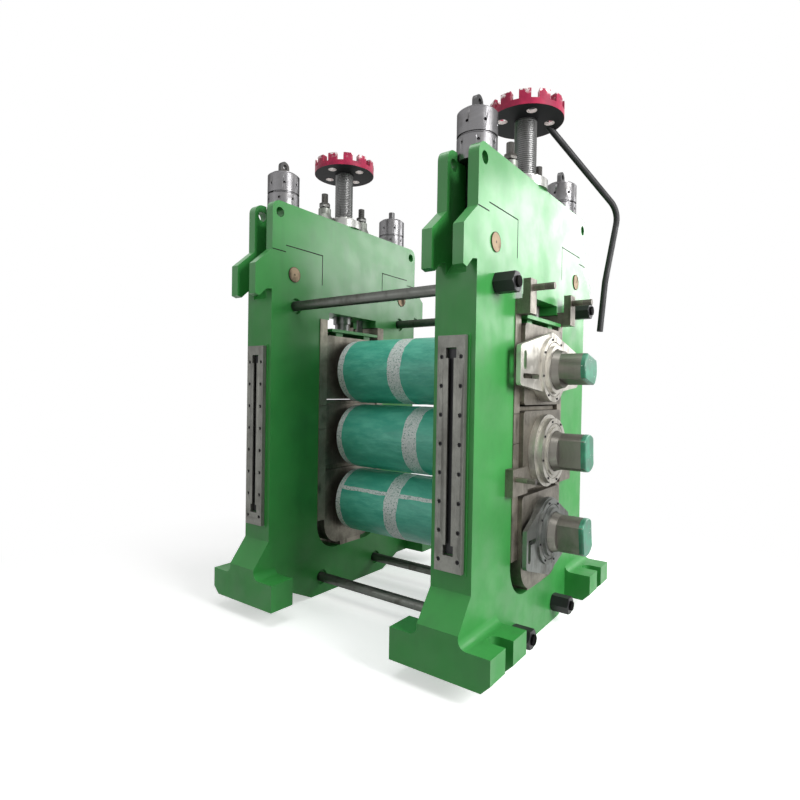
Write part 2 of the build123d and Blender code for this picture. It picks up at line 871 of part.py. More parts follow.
def cover_slots(roll_z, offset, slot_top, slot_bottom, cross_reach, cross_height):
    """The upright and the level slot of each wing of a cover, as solids to cut away."""
    cross_root = cover_ring_radius + cover_cross_slot_root
    with BuildPart() as slots:
        with BuildSketch(Plane.YZ.offset(cover_back)):
            with Locations((offset, roll_z + (slot_top + slot_bottom) / 2)):
                SlotOverall(slot_top - slot_bottom, cover_slot_width, rotation=90)
            with Locations(((cross_root + cross_reach) / 2, roll_z + cross_height)):
                SlotOverall(cross_reach - cross_root, cover_cross_slot_width)
        extrude(amount=cover_thickness)
        mirror(about=Plane.XZ)
    return slots.part


# Covers of the top and bottom rolls, whose wings spread in front of the posts
with BuildPart() as near_top_cover:
    add(
        winged_cover(
            top_roll_z,
            top_cover_half_width,
            top_cover_crest,
            top_cover_end_top,
            top_cover_end_bottom,
            top_cover_keel,
            cover_corner_radius,
        )
    )
    add(
        cover_slots(
            top_roll_z,
            top_cover_slot_offset,
            top_cover_slot_top,
            top_cover_slot_bottom,
            top_cover_cross_slot_reach,
            top_cover_cross_slot_height,
        ),
        mode=Mode.SUBTRACT,
    )
keep_pair("top_cover", near_top_cover.part)

with BuildPart() as near_bottom_cover:
    add(
        winged_cover(
            bottom_roll_z,
            bottom_cover_half_width,
            bottom_cover_crest,
            bottom_cover_end_top,
            bottom_cover_end_bottom,
            bottom_cover_keel,
            cover_crest_radius,
        )
    )
    add(
        cover_slots(
            bottom_roll_z,
            bottom_cover_slot_offset,
            bottom_cover_slot_top,
            bottom_cover_slot_bottom,
            bottom_cover_cross_slot_reach,
            bottom_cover_cross_slot_height,
        ),
        mode=Mode.SUBTRACT,
    )
keep_pair("bottom_cover", near_bottom_cover.part)

# Cover of the middle roll: a round flange with a deeper ring
with BuildPart() as near_middle_cover:
    with BuildSketch(Plane.YZ.offset(chock_outer_face)):
        with Locations((0, middle_roll_z)):
            Circle(middle_flange_radius)
    extrude(amount=middle_flange_thickness)
    add(cover_rings(middle_flange_face, middle_ring_face, middle_roll_z))
    add(cover_bore(middle_roll_z), mode=Mode.SUBTRACT)
keep_pair("middle_cover", near_middle_cover.part)


def wobbler_section(radius):
    """Section of a driven roll end: a round with two flats, with its flats facing Y."""
    flats = wobbler_flats + 2 * (radius - wobbler_radius)
    with BuildSketch() as section:
        Circle(radius)
        Rectangle(flats, 2 * radius, mode=Mode.INTERSECT)
    return section.sketch


def roll(roll_z, wobbler_angle):
    """A roll with stepped necks and a wobbler with two flats at each end."""
    with BuildPart() as body:
        with BuildSketch(Plane.XZ):
            with BuildLine():
                Polyline(
                    (0, 0),
                    (0, barrel_radius),
                    (barrel_length / 2, barrel_radius),
                    (barrel_length / 2, neck_radius),
                    (chock_outer_face, neck_radius),
                    (chock_outer_face, neck_end_radius),
                    (seal_face, neck_end_radius),
                    (wobbler_start, wobbler_radius),
                    (wobbler_start, 0),
                    close=True,
                )
            make_face()
        revolve(axis=Axis.X)
        end_plane = Plane((wobbler_start, 0, 0), x_dir=(0, 1, 0), z_dir=(1, 0, 0))
        with BuildSketch(end_plane):
            add(wobbler_section(wobbler_radius), rotation=wobbler_angle)
        extrude(amount=wobbler_end - wobbler_start)
        chamfer(body.edges().group_by(Axis.X)[-1], wobbler_chamfer)
        mirror(about=Plane.YZ)
    return body.part.moved(Location((0, 0, roll_z)))


def roll_wrap(roll_z, wobbler_angle):
    """Packing film: a sleeve over the barrel and its ends, and a cover on each wobbler end."""
    inside = barrel_radius + film_clearance
    outside = inside + film_thickness
    end_inside = barrel_length / 2 + film_clearance
    end_outside = end_inside + film_thickness
    with BuildPart() as wrap:
        with BuildSketch(Plane.XZ):
            with BuildLine():
                Polyline(
                    (0, inside),
                    (0, outside),
                    (end_outside, outside),
                    (end_outside, neck_radius + film_clearance),
                    (end_inside, neck_radius + film_clearance),
                    (end_inside, inside),
                    close=True,
                )
            make_face()
        revolve(axis=Axis.X)
        end_plane = Plane(
            (wobbler_end + film_clearance, 0, 0), x_dir=(0, 1, 0), z_dir=(1, 0, 0)
        )
        with BuildSketch(end_plane):
            add(wobbler_section(wobbler_radius), rotation=wobbler_angle)
        extrude(amount=film_thickness)
        mirror(about=Plane.YZ)
    return wrap.part.moved(Location((0, 0, roll_z)))


roll_places = {
    "top_roll": (top_roll_z, top_wobbler_angle),
    "middle_roll": (middle_roll_z, middle_wobbler_angle),
    "bottom_roll": (bottom_roll_z, bottom_wobbler_angle),
}
for roll_name, (roll_z, wobbler_angle) in roll_places.items():
    keep(roll_name, roll(roll_z, wobbler_angle))
    keep(roll_name + "_wrap", roll_wrap(roll_z, wobbler_angle))


# Balance beam on the top chock, which the screw presses on and the rods lift
with BuildPart() as near_balance_beam:
    beam_back = inner_face - beam_inner_overhang
    beam_front = chock_outer_face
    with BuildSketch(Plane.XY.offset(beam_top - beam_plate_thickness)):
        with Locations(((beam_back + beam_front) / 2, 0)):
            Rectangle(beam_front - beam_back, 2 * beam_half_length)
    extrude(amount=beam_plate_thickness)
    with BuildSketch(Plane.XY.offset(top_chock_top)):
        with Locations((housing_x, beam_pad_offset), (housing_x, -beam_pad_offset)):
            Rectangle(housing_thickness, beam_pad_width)
    extrude(amount=beam_pad_height)
    with BuildSketch(Plane.XY.offset(beam_top)):
        with Locations((housing_x, balance_rod_offset), (housing_x, -balance_rod_offset)):
            Circle(balance_rod_radius + fixed_clearance)
    extrude(amount=-balance_rod_socket, mode=Mode.SUBTRACT)
keep_pair("balance_beam", near_balance_beam.part)


# Balance rods with their nuts, standing in the beam and reaching out of the spring cups
with BuildPart() as near_balance_rods:
    rod_bottom = beam_top - balance_rod_socket
    balance_nut = hex_nut(balance_nut_flats, balance_nut_height, balance_rod_radius / 2)
    for y in (-balance_rod_offset, balance_rod_offset):
        with BuildSketch(Plane.XY.offset(rod_bottom)):
            with Locations((housing_x, y)):
                Circle(balance_rod_radius)
        extrude(amount=cap_top + balance_rod_rise - rod_bottom)
        with Locations((housing_x, y, balance_nut_seat)):
            add(balance_nut)
keep_together("balance_rods", near_balance_rods.part)


# Spring cups of the balance rods on top of the cap
with BuildPart() as near_spring_cups:
    with BuildSketch(Plane.XZ) as cup_profile:
        with BuildLine():
            bore = balance_rod_radius + rod_clearance
            Polyline(
                (bore, 0),
                (spring_cup_base_radius, 0),
                (spring_cup_base_radius, spring_cup_flare_height / 3),
                (spring_cup_top_radius, spring_cup_flare_height),
                (spring_cup_top_radius, spring_cup_height),
                (bore, spring_cup_height),
                close=True,
            )
        make_face()
    revolve(axis=Axis.Z)
spring_cup = near_spring_cups.part
with BuildPart() as near_spring_cup_pair:
    with Locations(
        (housing_x, -balance_rod_offset, cap_top),
        (housing_x, balance_rod_offset, cap_top),
    ):
        add(spring_cup)
keep_together("spring_cups", near_spring_cup_pair.part)


# Screw nut let into the cap, with a flange and a collar above it
with BuildPart() as near_screw_nut:
    with BuildSketch(Plane.XZ):
        with BuildLine():
            bore = screw_radius + screw_nut_clearance
            flange_top = cap_top + screw_nut_flange_height
            Polyline(
                (bore, cap_top - screw_nut_depth),
                (screw_nut_outer_radius, cap_top - screw_nut_depth),
                (screw_nut_outer_radius, cap_top),
                (screw_nut_flange_radius, cap_top),
                (screw_nut_flange_radius, flange_top),
                (screw_nut_collar_radius, flange_top),
                (screw_nut_collar_radius, flange_top + screw_nut_collar_height),
                (bore, flange_top + screw_nut_collar_height),
                close=True,
            )
        make_face()
    revolve(axis=Axis.Z)
with BuildPart() as near_screw_nut_placed:
    with Locations((housing_x, 0)):
        add(near_screw_nut.part)
keep_pair("screw_nut", near_screw_nut_placed.part)


# Adjusting screw: it stands on the beam and carries the wheel on its spigot
with BuildPart() as near_screw:
    with BuildSketch(Plane.XY.offset(beam_top)):
        with Locations((housing_x, 0)):
            Circle(screw_tip_radius)
    extrude(amount=screw_tip_length)
    with BuildSketch(Plane.XY.offset(beam_top + screw_tip_length)):
        with Locations((housing_x, 0)):
            Circle(screw_radius)
    extrude(amount=wheel_bottom - beam_top - screw_tip_length)
    with BuildSketch(Plane.XY.offset(wheel_bottom)):
        with Locations((housing_x, 0)):
            Circle(screw_spigot_radius)
    extrude(amount=wheel_hub_height + screw_spigot_rise)
keep_pair("screw", near_screw.part)


# Turning bar: a bent round bar in the upright plane through the near screw
bar_plane = Plane(
    (housing_x, 0, 0),
    x_dir=(math.cos(math.radians(bar_angle)), math.sin(math.radians(bar_angle)), 0),
    z_dir=(math.sin(math.radians(bar_angle)), -math.cos(math.radians(bar_angle)), 0),
)
bar_start = (bar_start_radius, wheel_bottom + bar_start_rise)
bar_bend = (bar_bend_radius_from_screw, wheel_bottom - bar_bend_drop)
bar_knee = (bar_knee_radius_from_screw, wheel_bottom - bar_knee_drop)
bar_end = (bar_end_radius_from_screw, wheel_bottom - bar_end_drop)
with BuildLine(bar_plane) as bar_path:
    FilletPolyline(
        bar_start,
        bar_bend,
        bar_knee,
        bar_end,
        radius=[bar_bend_fillet, bar_knee_fillet],
    )
bar_start_plane = Plane(bar_path.line @ 0, z_dir=bar_path.line % 0)
with BuildPart() as turning_bar:
    with BuildSketch(bar_start_plane):
        Circle(bar_radius)
    sweep(path=bar_path.line)
keep("turning_bar", turning_bar.part)


def screw_wheel(angle):
    """Castellated wheel about Z on the spigot of a screw, dished on top, turned by angle."""
    with BuildPart() as wheel:
        with BuildSketch(Plane.XZ):
            with BuildLine():
                bore = screw_spigot_radius + fixed_clearance
                web_top = wheel_bottom + wheel_web_thickness
                Polyline(
                    (bore, wheel_bottom),
                    (wheel_radius, wheel_bottom),
                    (wheel_radius, wheel_top),
                    (wheel_radius - wheel_rim_width, wheel_top),
                    (wheel_radius - wheel_rim_width, web_top),
                    (wheel_hub_radius, web_top),
                    (wheel_hub_radius, wheel_bottom + wheel_hub_height),
                    (bore, wheel_bottom + wheel_hub_height),
                    close=True,
                )
            make_face()
        revolve(axis=Axis.Z)
        with BuildSketch(Plane.XY.offset(wheel_top - wheel_slot_depth)):
            with PolarLocations(wheel_radius, wheel_slot_count, start_angle=angle):
                Rectangle(3 * wheel_rim_width, wheel_slot_width)
        extrude(amount=wheel_slot_depth, mode=Mode.SUBTRACT)
        with BuildSketch(Plane.XY.offset(wheel_bottom)):
            with PolarLocations(wheel_hole_circle_radius, wheel_hole_count, start_angle=angle):
                Circle(wheel_hole_radius)
        extrude(amount=wheel_web_thickness, mode=Mode.SUBTRACT)
    return wheel.part


# The near wheel also has the slanting hole that the bar is put through
with BuildPart() as near_wheel:
    with Locations((housing_x, 0)):
        add(screw_wheel(near_wheel_angle))
    with BuildSketch(bar_start_plane):
        Circle(bar_radius + fixed_clearance)
    extrude(amount=bar_hole_length, mode=Mode.SUBTRACT)
keep("near_wheel", near_wheel.part)

with BuildPart() as far_wheel:
    with Locations((-housing_x, 0)):
        add(screw_wheel(far_wheel_angle))
keep("far_wheel", far_wheel.part)


# Keeper brackets over the ends of the balance beam, with studs, bolted to the plug of the cap
with BuildPart() as near_keeper_plates:
    keeper_bottom = top_chock_top + keeper_lift
    keeper_front = outer_face + keeper_reach
    keeper_back = outer_face + liner_proud + keeper_seat_gap
    with BuildSketch(Plane.XZ.offset(-keeper_inner)):
        with BuildLine():
            Polyline(
                (keeper_back, keeper_bottom),
                (keeper_front, keeper_bottom),
                (keeper_front, keeper_bottom + keeper_height),
                (keeper_front - keeper_post_thickness, keeper_bottom + keeper_height),
                (keeper_front - keeper_post_thickness, keeper_bottom + keeper_foot_height),
                (outer_face, keeper_bottom + keeper_foot_height),
                (outer_face, plug_leg_bottom + keeper_seat_gap),
                (keeper_back, plug_leg_bottom + keeper_seat_gap),
                close=True,
            )
        make_face()
    extrude(amount=-(keeper_outer - keeper_inner))
    with BuildSketch(Plane.YZ.offset(keeper_front)):
        with Locations(
            (
                (keeper_inner + keeper_outer) / 2,
                keeper_bottom + keeper_height - keeper_stud_drop,
            )
        ):
            Circle(keeper_stud_radius)
    extrude(amount=keeper_stud_length)
    mirror(about=Plane.XZ)
keep_together("keeper_plates", near_keeper_plates.part)


# Strap clamps that hold the middle chock, with studs
with BuildPart() as near_cover_straps:
    strap_bottom = middle_roll_z - strap_drop
    strap_front = outer_face + strap_reach
    with BuildSketch(Plane.XY.offset(strap_bottom)):
        with BuildLine():
            Polyline(
                (outer_face, strap_foot_inner),
                (chock_outer_face, strap_foot_inner),
                (chock_outer_face, strap_inner),
                (strap_front, strap_inner),
                (strap_front, strap_outer),
                (outer_face, strap_outer),
                close=True,
            )
        make_face()
    extrude(amount=strap_height)
    with BuildSketch(Plane.YZ.offset(strap_front)):
        with Locations((strap_outer - strap_stud_inset, strap_bottom + strap_stud_rise)):
            Circle(strap_stud_radius)
    extrude(amount=strap_stud_length)
    mirror(about=Plane.XZ)
keep_together("cover_straps", near_cover_straps.part)


for name, piece in pieces.items():
    piece.label = name
    export_step(piece, f"parts/{name}.step")

print("nodes:", len(pieces))
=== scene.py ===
import logging
import math
from dataclasses import dataclass
from enum import Enum
from functools import cache, reduce
from itertools import product
from typing import Dict, Iterable, List, Optional, Sequence, Tuple

import bmesh
import bpy
from mathutils import Matrix, Vector, noise


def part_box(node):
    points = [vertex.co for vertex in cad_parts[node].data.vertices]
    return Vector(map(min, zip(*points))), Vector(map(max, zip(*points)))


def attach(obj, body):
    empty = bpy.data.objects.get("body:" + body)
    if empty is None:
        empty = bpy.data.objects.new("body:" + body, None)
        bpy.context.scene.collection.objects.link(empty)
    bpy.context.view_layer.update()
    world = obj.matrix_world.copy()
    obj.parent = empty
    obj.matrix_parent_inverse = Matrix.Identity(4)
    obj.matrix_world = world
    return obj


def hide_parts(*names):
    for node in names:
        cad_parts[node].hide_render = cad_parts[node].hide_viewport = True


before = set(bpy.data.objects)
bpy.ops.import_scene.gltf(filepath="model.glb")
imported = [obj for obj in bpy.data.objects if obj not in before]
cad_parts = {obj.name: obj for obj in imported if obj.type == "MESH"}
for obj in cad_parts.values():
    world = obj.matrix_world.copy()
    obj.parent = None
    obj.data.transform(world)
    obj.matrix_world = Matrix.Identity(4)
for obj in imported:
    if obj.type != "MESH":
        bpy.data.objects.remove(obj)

log = logging.getLogger("mill_stand")

Colour = Tuple[float, float, float]
Point = Tuple[float, float, float]
Place = Sequence[float]
Hole = Tuple[Point, Point, float, float]
Shape = bmesh.types.BMesh
Edges = List[bmesh.types.BMEdge]
Verts = List[bmesh.types.BMVert]
Material = bpy.types.Material
Piece = bpy.types.Object
Socket = bpy.types.NodeSocket
Tree = bpy.types.NodeTree

UP: Point = (0.0, 0.0, 1.0)
FULL_TURN = 2 * math.pi
TINY = 1e-6


class Side(Enum):
    """The two housings, by the sign of their X."""

    NEAR = 1
    FAR = -1

    @property
    def word(self) -> str:
        """The side's word in the names of its nodes."""
        return self.name.lower()


class End(Enum):
    """The entry and exit sides of the stand, by the sign of their Y."""

    FRONT = -1
    REAR = 1


class RollName(Enum):
    """The three rolls, by the name of their CAD node and body."""

    TOP = "top_roll"
    MIDDLE = "middle_roll"
    BOTTOM = "bottom_roll"

    @property
    def word(self) -> str:
        """The roll's word in the names of its chocks and covers."""
        return self.name.lower()


@dataclass
class StandSizes:
    """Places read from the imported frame, in metres, so that the dress follows the solids."""

    housing_x: float
    outer_face: float
    cap_top: float
    wheel_bottom: float
    wheel_top: float
    wheel_radius: float
    roll_z: Dict[RollName, float]

    @classmethod
    def read(cls) -> "StandSizes":
        """Measures the CAD nodes.

        Returns:
            The sizes of this frame.
        """
        cap_low, cap_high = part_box("near_cap")
        wheel_low, wheel_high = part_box("near_wheel")
        boxes = {roll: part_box(roll.value) for roll in RollName}
        return cls(
            housing_x=(cap_low[0] + cap_high[0]) / 2,
            outer_face=cap_high[0],
            cap_top=cap_high[2],
            wheel_bottom=wheel_low[2],
            wheel_top=wheel_high[2],
            wheel_radius=(wheel_high[0] - wheel_low[0]) / 2,
            roll_z={roll: (low[2] + high[2]) / 2 for roll, (low, high) in boxes.items()},
        )

    def middle_x(self, side: Side) -> float:
        """Gives the X of the middle of one housing."""
        return side.value * self.housing_x


class NodeSketch:
    """A short way to lay out shader nodes in a material, a node group or the world."""

    def __init__(self, tree: Tree) -> None:
        """Starts on an emptied tree."""
        self.tree = tree
        self.tree.nodes.clear()

    def add(self, kind: str, settings: Optional[Dict[str, object]] = None,
            **inputs: object) -> bpy.types.Node:
        """Adds a node, sets it up and connects its inputs.

        Args:
            kind: The node's type.
            settings: Attributes of the node itself.
            inputs: Values or outputs by input name with _ for a space, or by i and the input's number.

        Returns:
            The new node.
        """
        node = self.tree.nodes.new(kind)
        for name, value in (settings or {}).items():
            setattr(node, name, value)
        for name, value in inputs.items():
            key = int(name[1:]) if name[0] == "i" and name[1:].isdigit() else name.replace("_", " ")
            self.put(node.inputs[key], value)
        return node

    def put(self, socket: Socket, value: object) -> None:
        """Sets a socket to a constant, or connects it to an output.

        Args:
            socket: The input.
            value: A number, a colour, a vector or an output.
        """
        if isinstance(value, Socket):
            self.tree.links.new(value, socket)
        elif isinstance(value, tuple) and len(value) == 3 and socket.type == "RGBA":
            socket.default_value = (*value, 1.0)
        else:
            socket.default_value = value

    def math(self, operation: str, *values: object) -> Socket:
        """Adds a Math node.

        Args:
            operation: What it works out.
            values: Its inputs in order.

        Returns:
            Its output.
        """
        numbered = {f"i{number}": value for number, value in enumerate(values)}
        return self.add("ShaderNodeMath", {"operation": operation}, **numbered).outputs[0]

    def times(self, first: object, second: object) -> Socket:
        """Multiplies two values."""
        return self.math("MULTIPLY", first, second)

    def plus(self, first: object, second: object) -> Socket:
        """Adds two values."""
        return self.math("ADD", first, second)

    def minus(self, first: object, second: object) -> Socket:
        """Takes the second value from the first."""
        return self.math("SUBTRACT", first, second)

    def unsigned(self, value: object) -> Socket:
        """Drops the sign of a value."""
        return self.math("ABSOLUTE", value)

    def above(self, value: object, limit: object) -> Socket:
        """Gives one where the value is above the limit, zero elsewhere."""
        return self.math("GREATER_THAN", value, limit)

    def below(self, value: object, limit: object) -> Socket:
        """Gives one where the value is below the limit, zero elsewhere."""
        return self.math("LESS_THAN", value, limit)

    def between(self, value: object, low: object, high: object) -> Socket:
        """Gives one between two limits, zero elsewhere."""
        return self.times(self.above(value, low), self.below(value, high))

    def either(self, first: object, second: object) -> Socket:
        """Joins two masks."""
        return self.math("MAXIMUM", first, second)

    def squares(self, first: object, second: object) -> Socket:
        """Adds the squares of two distances."""
        return self.plus(self.times(first, first), self.times(second, second))

    def radius(self, first: object, second: object) -> Socket:
        """Gives the distance from an axis, from the distances along two others."""
        return self.math("SQRT", self.squares(first, second))

    def split(self, vector: object) -> Sequence[Socket]:
        """Takes coordinates apart into X, Y and Z."""
        return self.add("ShaderNodeSeparateXYZ", Vector=vector).outputs

    def group(self, tree: Tree, **inputs: object) -> Sequence[Socket]:
        """Places a shared effect and gives its outputs."""
        return self.add("ShaderNodeGroup", {"node_tree": tree}, **inputs).outputs

    def span(self, value: object, low: float, high: float, to_low: float = 0.0,
             to_high: float = 1.0) -> Socket:
        """Maps a value softly from one range to another, clamped.

        Args:
            value: The value to map.
            low: Start of the range it comes in.
            high: End of that range.
            to_low: What low turns into.
            to_high: What high turns into.

        Returns:
            The mapped value.
        """
        return self.add("ShaderNodeMapRange", {"interpolation_type": "SMOOTHSTEP"}, i0=value, i1=low, i2=high,
                        i3=to_low, i4=to_high).outputs[0]

    def blend(self, factor: object, first: object, second: object) -> Socket:
        """Mixes two colours.

        Args:
            factor: 0 for the first, 1 for the second.
            first: A colour or a colour output.
            second: A colour or a colour output.

        Returns:
            The mixed colour.
        """
        return self.add("ShaderNodeMix", {"data_type": "RGBA"}, i0=factor, i6=first, i7=second).outputs[2]

    def noise(self, vector: object, scale: object, detail: float = 3.0, rough: float = 0.5) -> Socket:
        """Adds a noise texture.

        Args:
            vector: Where the texture is read.
            scale: Its scale.
            detail: Its detail.
            rough: Its roughness.

        Returns:
            Its value.
        """
        return self.add("ShaderNodeTexNoise", Vector=vector, Scale=scale, Detail=detail,
                        Roughness=rough).outputs["Fac"]

    def stretched(self, vector: object, scale: Point) -> Socket:
        """Scales coordinates along X, Y and Z."""
        return self.add("ShaderNodeVectorMath", {"operation": "MULTIPLY"}, i0=vector, i1=scale).outputs[0]


class SharedEffects:
    """Node groups that several finishes of the stand use, each built once."""

    @staticmethod
    def start(name: str, inputs: Dict[str, Optional[float]],
              *outputs: str) -> Tuple[NodeSketch, Sequence[Socket], Sequence[Socket]]:
        """Makes an empty group with its sockets.

        Args:
            name: The group's name.
            inputs: The default of each input by name, or None for a vector.
            outputs: Names of the float outputs.

        Returns:
            The sketch, what the group is given and what it gives.
        """
        tree = bpy.data.node_groups.new(name, "ShaderNodeTree")
        for label, default in inputs.items():
            kind = "NodeSocketVector" if default is None else "NodeSocketFloat"
            socket = tree.interface.new_socket(name=label, in_out="INPUT", socket_type=kind)
            if default is not None:
                socket.default_value = default
        for label in outputs:
            tree.interface.new_socket(name=label, in_out="OUTPUT", socket_type="NodeSocketFloat")
        sketch = NodeSketch(tree)
        return sketch, sketch.add("NodeGroupInput").outputs, sketch.add("NodeGroupOutput").inputs

    @staticmethod
    @cache
    def shop_dirt() -> Tree:
        """Draws patches of handling dirt and thin runs.

        Returns:
            The group, with a Mask output.
        """
        inputs = {"Vector": None, "Scale": 4.0, "Amount": 0.5}
        sketch, given, result = SharedEffects.start("shop_dirt", inputs, "Mask")
        broad = sketch.noise(given[0], given[1], 6.0)
        thin = sketch.noise(sketch.stretched(given[0], (26.0, 26.0, 1.6)), 1.0)
        mixed = sketch.times(broad, sketch.plus(thin, 0.5))
        sketch.put(result[0], sketch.times(sketch.span(mixed, 0.45, 0.75), given[2]))
        return sketch.tree

    @staticmethod
    @cache
    def tool_marks() -> Tree:
        """Draws fine cutting marks that run round an axis.

        Returns:
            The group, with a Marks output between 0 and 1.
        """
        inputs = {"Radius": 0.0, "Along": 0.0, "Pitch": 900.0}
        sketch, given, result = SharedEffects.start("tool_marks", inputs, "Marks")
        spread = sketch.times(sketch.plus(given[0], given[1]), given[2])
        place = sketch.add("ShaderNodeCombineXYZ", X=spread).outputs[0]
        fine = sketch.noise(place, 1.0, 4.0, 0.7)
        wide = sketch.noise(sketch.stretched(place, (0.08, 1.0, 1.0)), 1.0, 2.0)
        sketch.put(result[0], sketch.plus(sketch.times(fine, 0.6), sketch.times(wide, 0.4)))
        return sketch.tree

    @staticmethod
    @cache
    def thread_grooves() -> Tree:
        """Draws grooves across an axis beyond a given place, for the threaded ends of studs.

        Returns:
            The group, with a Height output and an Inside output.
        """
        inputs = {"Along": 0.0, "Start": 0.0, "Pitch": 0.004}
        sketch, given, result = SharedEffects.start("thread_grooves", inputs, "Height", "Inside")
        turns = sketch.math("DIVIDE", given[0], given[2])
        wave = sketch.math("SINE", sketch.times(turns, FULL_TURN))
        inside = sketch.above(given[0], given[1])
        sketch.put(result[0], sketch.times(wave, inside))
        sketch.put(result[1], inside)
        return sketch.tree


def paler(colour: Colour, factor: float) -> Colour:
    """Lightens a colour, to white at most."""
    return tuple(min(1.0, part * factor) for part in colour)


class FinishSketch(NodeSketch):
    """The nodes of one finish: its shader, its Object coordinates and what feeds the shader."""

    def __init__(self, tree: Tree, finish: "Finish") -> None:
        """Lays out the plain shader.

        Args:
            tree: The material's nodes.
            finish: What gives the plain colour, roughness and metal.
        """
        super().__init__(tree)
        self.roughness = finish.roughness
        self.shader = self.add("ShaderNodeBsdfPrincipled", Base_Color=finish.colour,
                               Roughness=finish.roughness, Metallic=finish.metallic)
        self.add("ShaderNodeOutputMaterial", Surface=self.shader.outputs[0]).is_active_output = True
        self.place = self.add("ShaderNodeTexCoord").outputs["Object"]

    @property
    def colour(self) -> Socket:
        """The colour laid on so far."""
        return self.shader.inputs["Base Color"].links[0].from_socket

    def feed(self, **inputs: object) -> None:
        """Sets or connects inputs of the shader, by name with _ for a space."""
        for name, value in inputs.items():
            self.put(self.shader.inputs[name.replace("_", " ")], value)

    def dirt(self, scale: float, amount: float) -> Socket:
        """Places the shared dirt and gives its mask."""
        return self.group(SharedEffects.shop_dirt(), Vector=self.place, Scale=scale, Amount=amount)[0]

    def polish(self, value: object, low: float, high: float, first: float, last: float) -> None:
        """Varies the roughness about the finish's own.

        Args:
            value: What it varies with.
            low: Start of that value's range.
            high: End of that range.
            first: What is added to the roughness at the start.
            last: What is added at the end.
        """
        self.feed(Roughness=self.span(value, low, high, self.roughness + first, self.roughness + last))

    def bump(self, height: object, strength: float, depth: float) -> None:
        """Feeds a height, with its strength and depth in metres, into the shader's normal."""
        bump = self.add("ShaderNodeBump", Height=height, Strength=strength, Distance=depth)
        self.feed(Normal=bump.outputs[0])


@dataclass(frozen=True)
class Finish:
    """A plain finish: the base that the others add to."""

    name: str
    colour: Colour
    roughness: float = 0.4
    metallic: float = 0.0

    def build(self) -> Material:
        """Makes the material.

        Returns:
            The material, dressed by the finish's own method.
        """
        material = bpy.data.materials.new(self.name)
        material.use_nodes = True
        material.diffuse_color = (*self.colour, 1.0)
        self.dress(FinishSketch(material.node_tree, self))
        return material

    def dress(self, look: FinishSketch) -> None:
        """Adds an uneven polish to the plain colour of the sketch."""
        look.polish(look.noise(look.place, 40.0, 4.0), 0.3, 0.7, 0.0, 0.12)


@dataclass(frozen=True)
class Enamel(Finish):
    """Gloss enamel over a ground casting, glossier towards the top of the stand."""

    patch: Colour = (0.1, 0.36, 0.13)
    dirt: Colour = (0.03, 0.09, 0.04)
    gloss: float = 0.1
    top_gloss: float = 0.6
    gloss_start: float = 1.75
    gloss_end: float = 2.35

    def dress(self, look: FinishSketch) -> None:
        """Adds brushed-out patches, thin dirt and the casting's soft waves under the paint.

        Args:
            look: The material's nodes.
        """
        patches = look.span(look.noise(look.place, 2.2), 0.4, 0.68)
        colour = look.blend(patches, self.colour, self.patch)
        height = look.split(look.place)[2]
        look.feed(Base_Color=look.blend(look.dirt(5.0, 0.12), colour, self.dirt),
                  Coat_Weight=look.span(height, self.gloss_start, self.gloss_end, self.gloss, self.top_gloss),
                  Coat_Roughness=0.2, Specular_IOR_Level=0.34)
        look.polish(look.noise(look.place, 7.0, 4.0), 0.3, 0.7, -0.06, 0.14)
        grain = look.times(look.noise(look.place, 260.0, 2.0), 0.03)
        look.bump(look.plus(look.noise(look.place, 5.0, 2.0), grain), 0.22, 0.006)


@dataclass(frozen=True)
class TurnedSteel(Finish):
    """Machined steel with cutting marks round an axis along X or Z."""

    centre: Tuple[float, float] = (0.0, 0.0)
    upright: bool = False
    stain: Colour = (0.05, 0.04, 0.03)
    stain_amount: float = 0.5
    marks: float = 0.12
    edge_tint: float = 0.3
    black_beyond: float = 10.0
    blackened: Colour = (0.012, 0.012, 0.012)

    def dress(self, look: FinishSketch) -> None:
        """Adds turned marks, oil stains and an uneven polish.

        Args:
            look: The material's nodes.
        """
        x, y, z = (look.split(look.place)[number] for number in range(3))
        first, second, along = (x, y, z) if self.upright else (y, z, x)
        if self.centre[0] != 0.0:
            first = look.unsigned(first)
        radius = look.radius(look.minus(first, self.centre[0]), look.minus(second, self.centre[1]))
        marks = look.group(SharedEffects.tool_marks(), Radius=radius, Along=along, Pitch=700.0)[0]
        dirt = look.dirt(9.0, self.stain_amount)
        colour = look.blend(look.span(marks, 0.3, 0.7), self.colour, paler(self.colour, 1.25))
        shade = look.above(look.unsigned(along), self.black_beyond)
        colour = look.blend(shade, colour, self.blackened)
        look.feed(Base_Color=look.blend(dirt, colour, self.stain), Specular_Tint=(self.edge_tint,) * 3)
        worn = look.plus(look.noise(look.place, 18.0, 4.0), look.times(dirt, 0.5))
        look.polish(worn, 0.35, 1.0, 0.0, 0.3)
        look.bump(marks, self.marks, 0.001)


@dataclass(frozen=True)
class PinMetal(TurnedSteel):
    """Turned metal with a dark centre mark and a dark edge on its end faces, painted shade of the
    centre-drill recess and the chamfer.
    """

    centre_mark: float = 0.007
    edge: float = 0.0455

    def dress(self, look: FinishSketch) -> None:
        """Adds the two dark marks of painted shade to what turned steel has.

        Args:
            look: The material's nodes.
        """
        super().dress(look)
        parts = look.split(look.place)
        first = look.minus(look.unsigned(parts[1]), self.centre[0])
        radius = look.radius(first, look.minus(parts[2], self.centre[1]))
        # Painted shade: a dark dot where the centre-drill recess is and a dark ring at the chamfered edge.
        marks = look.either(look.below(radius, self.centre_mark), look.above(radius, self.edge))
        look.feed(Base_Color=look.blend(look.times(marks, 0.8), look.colour, self.stain))


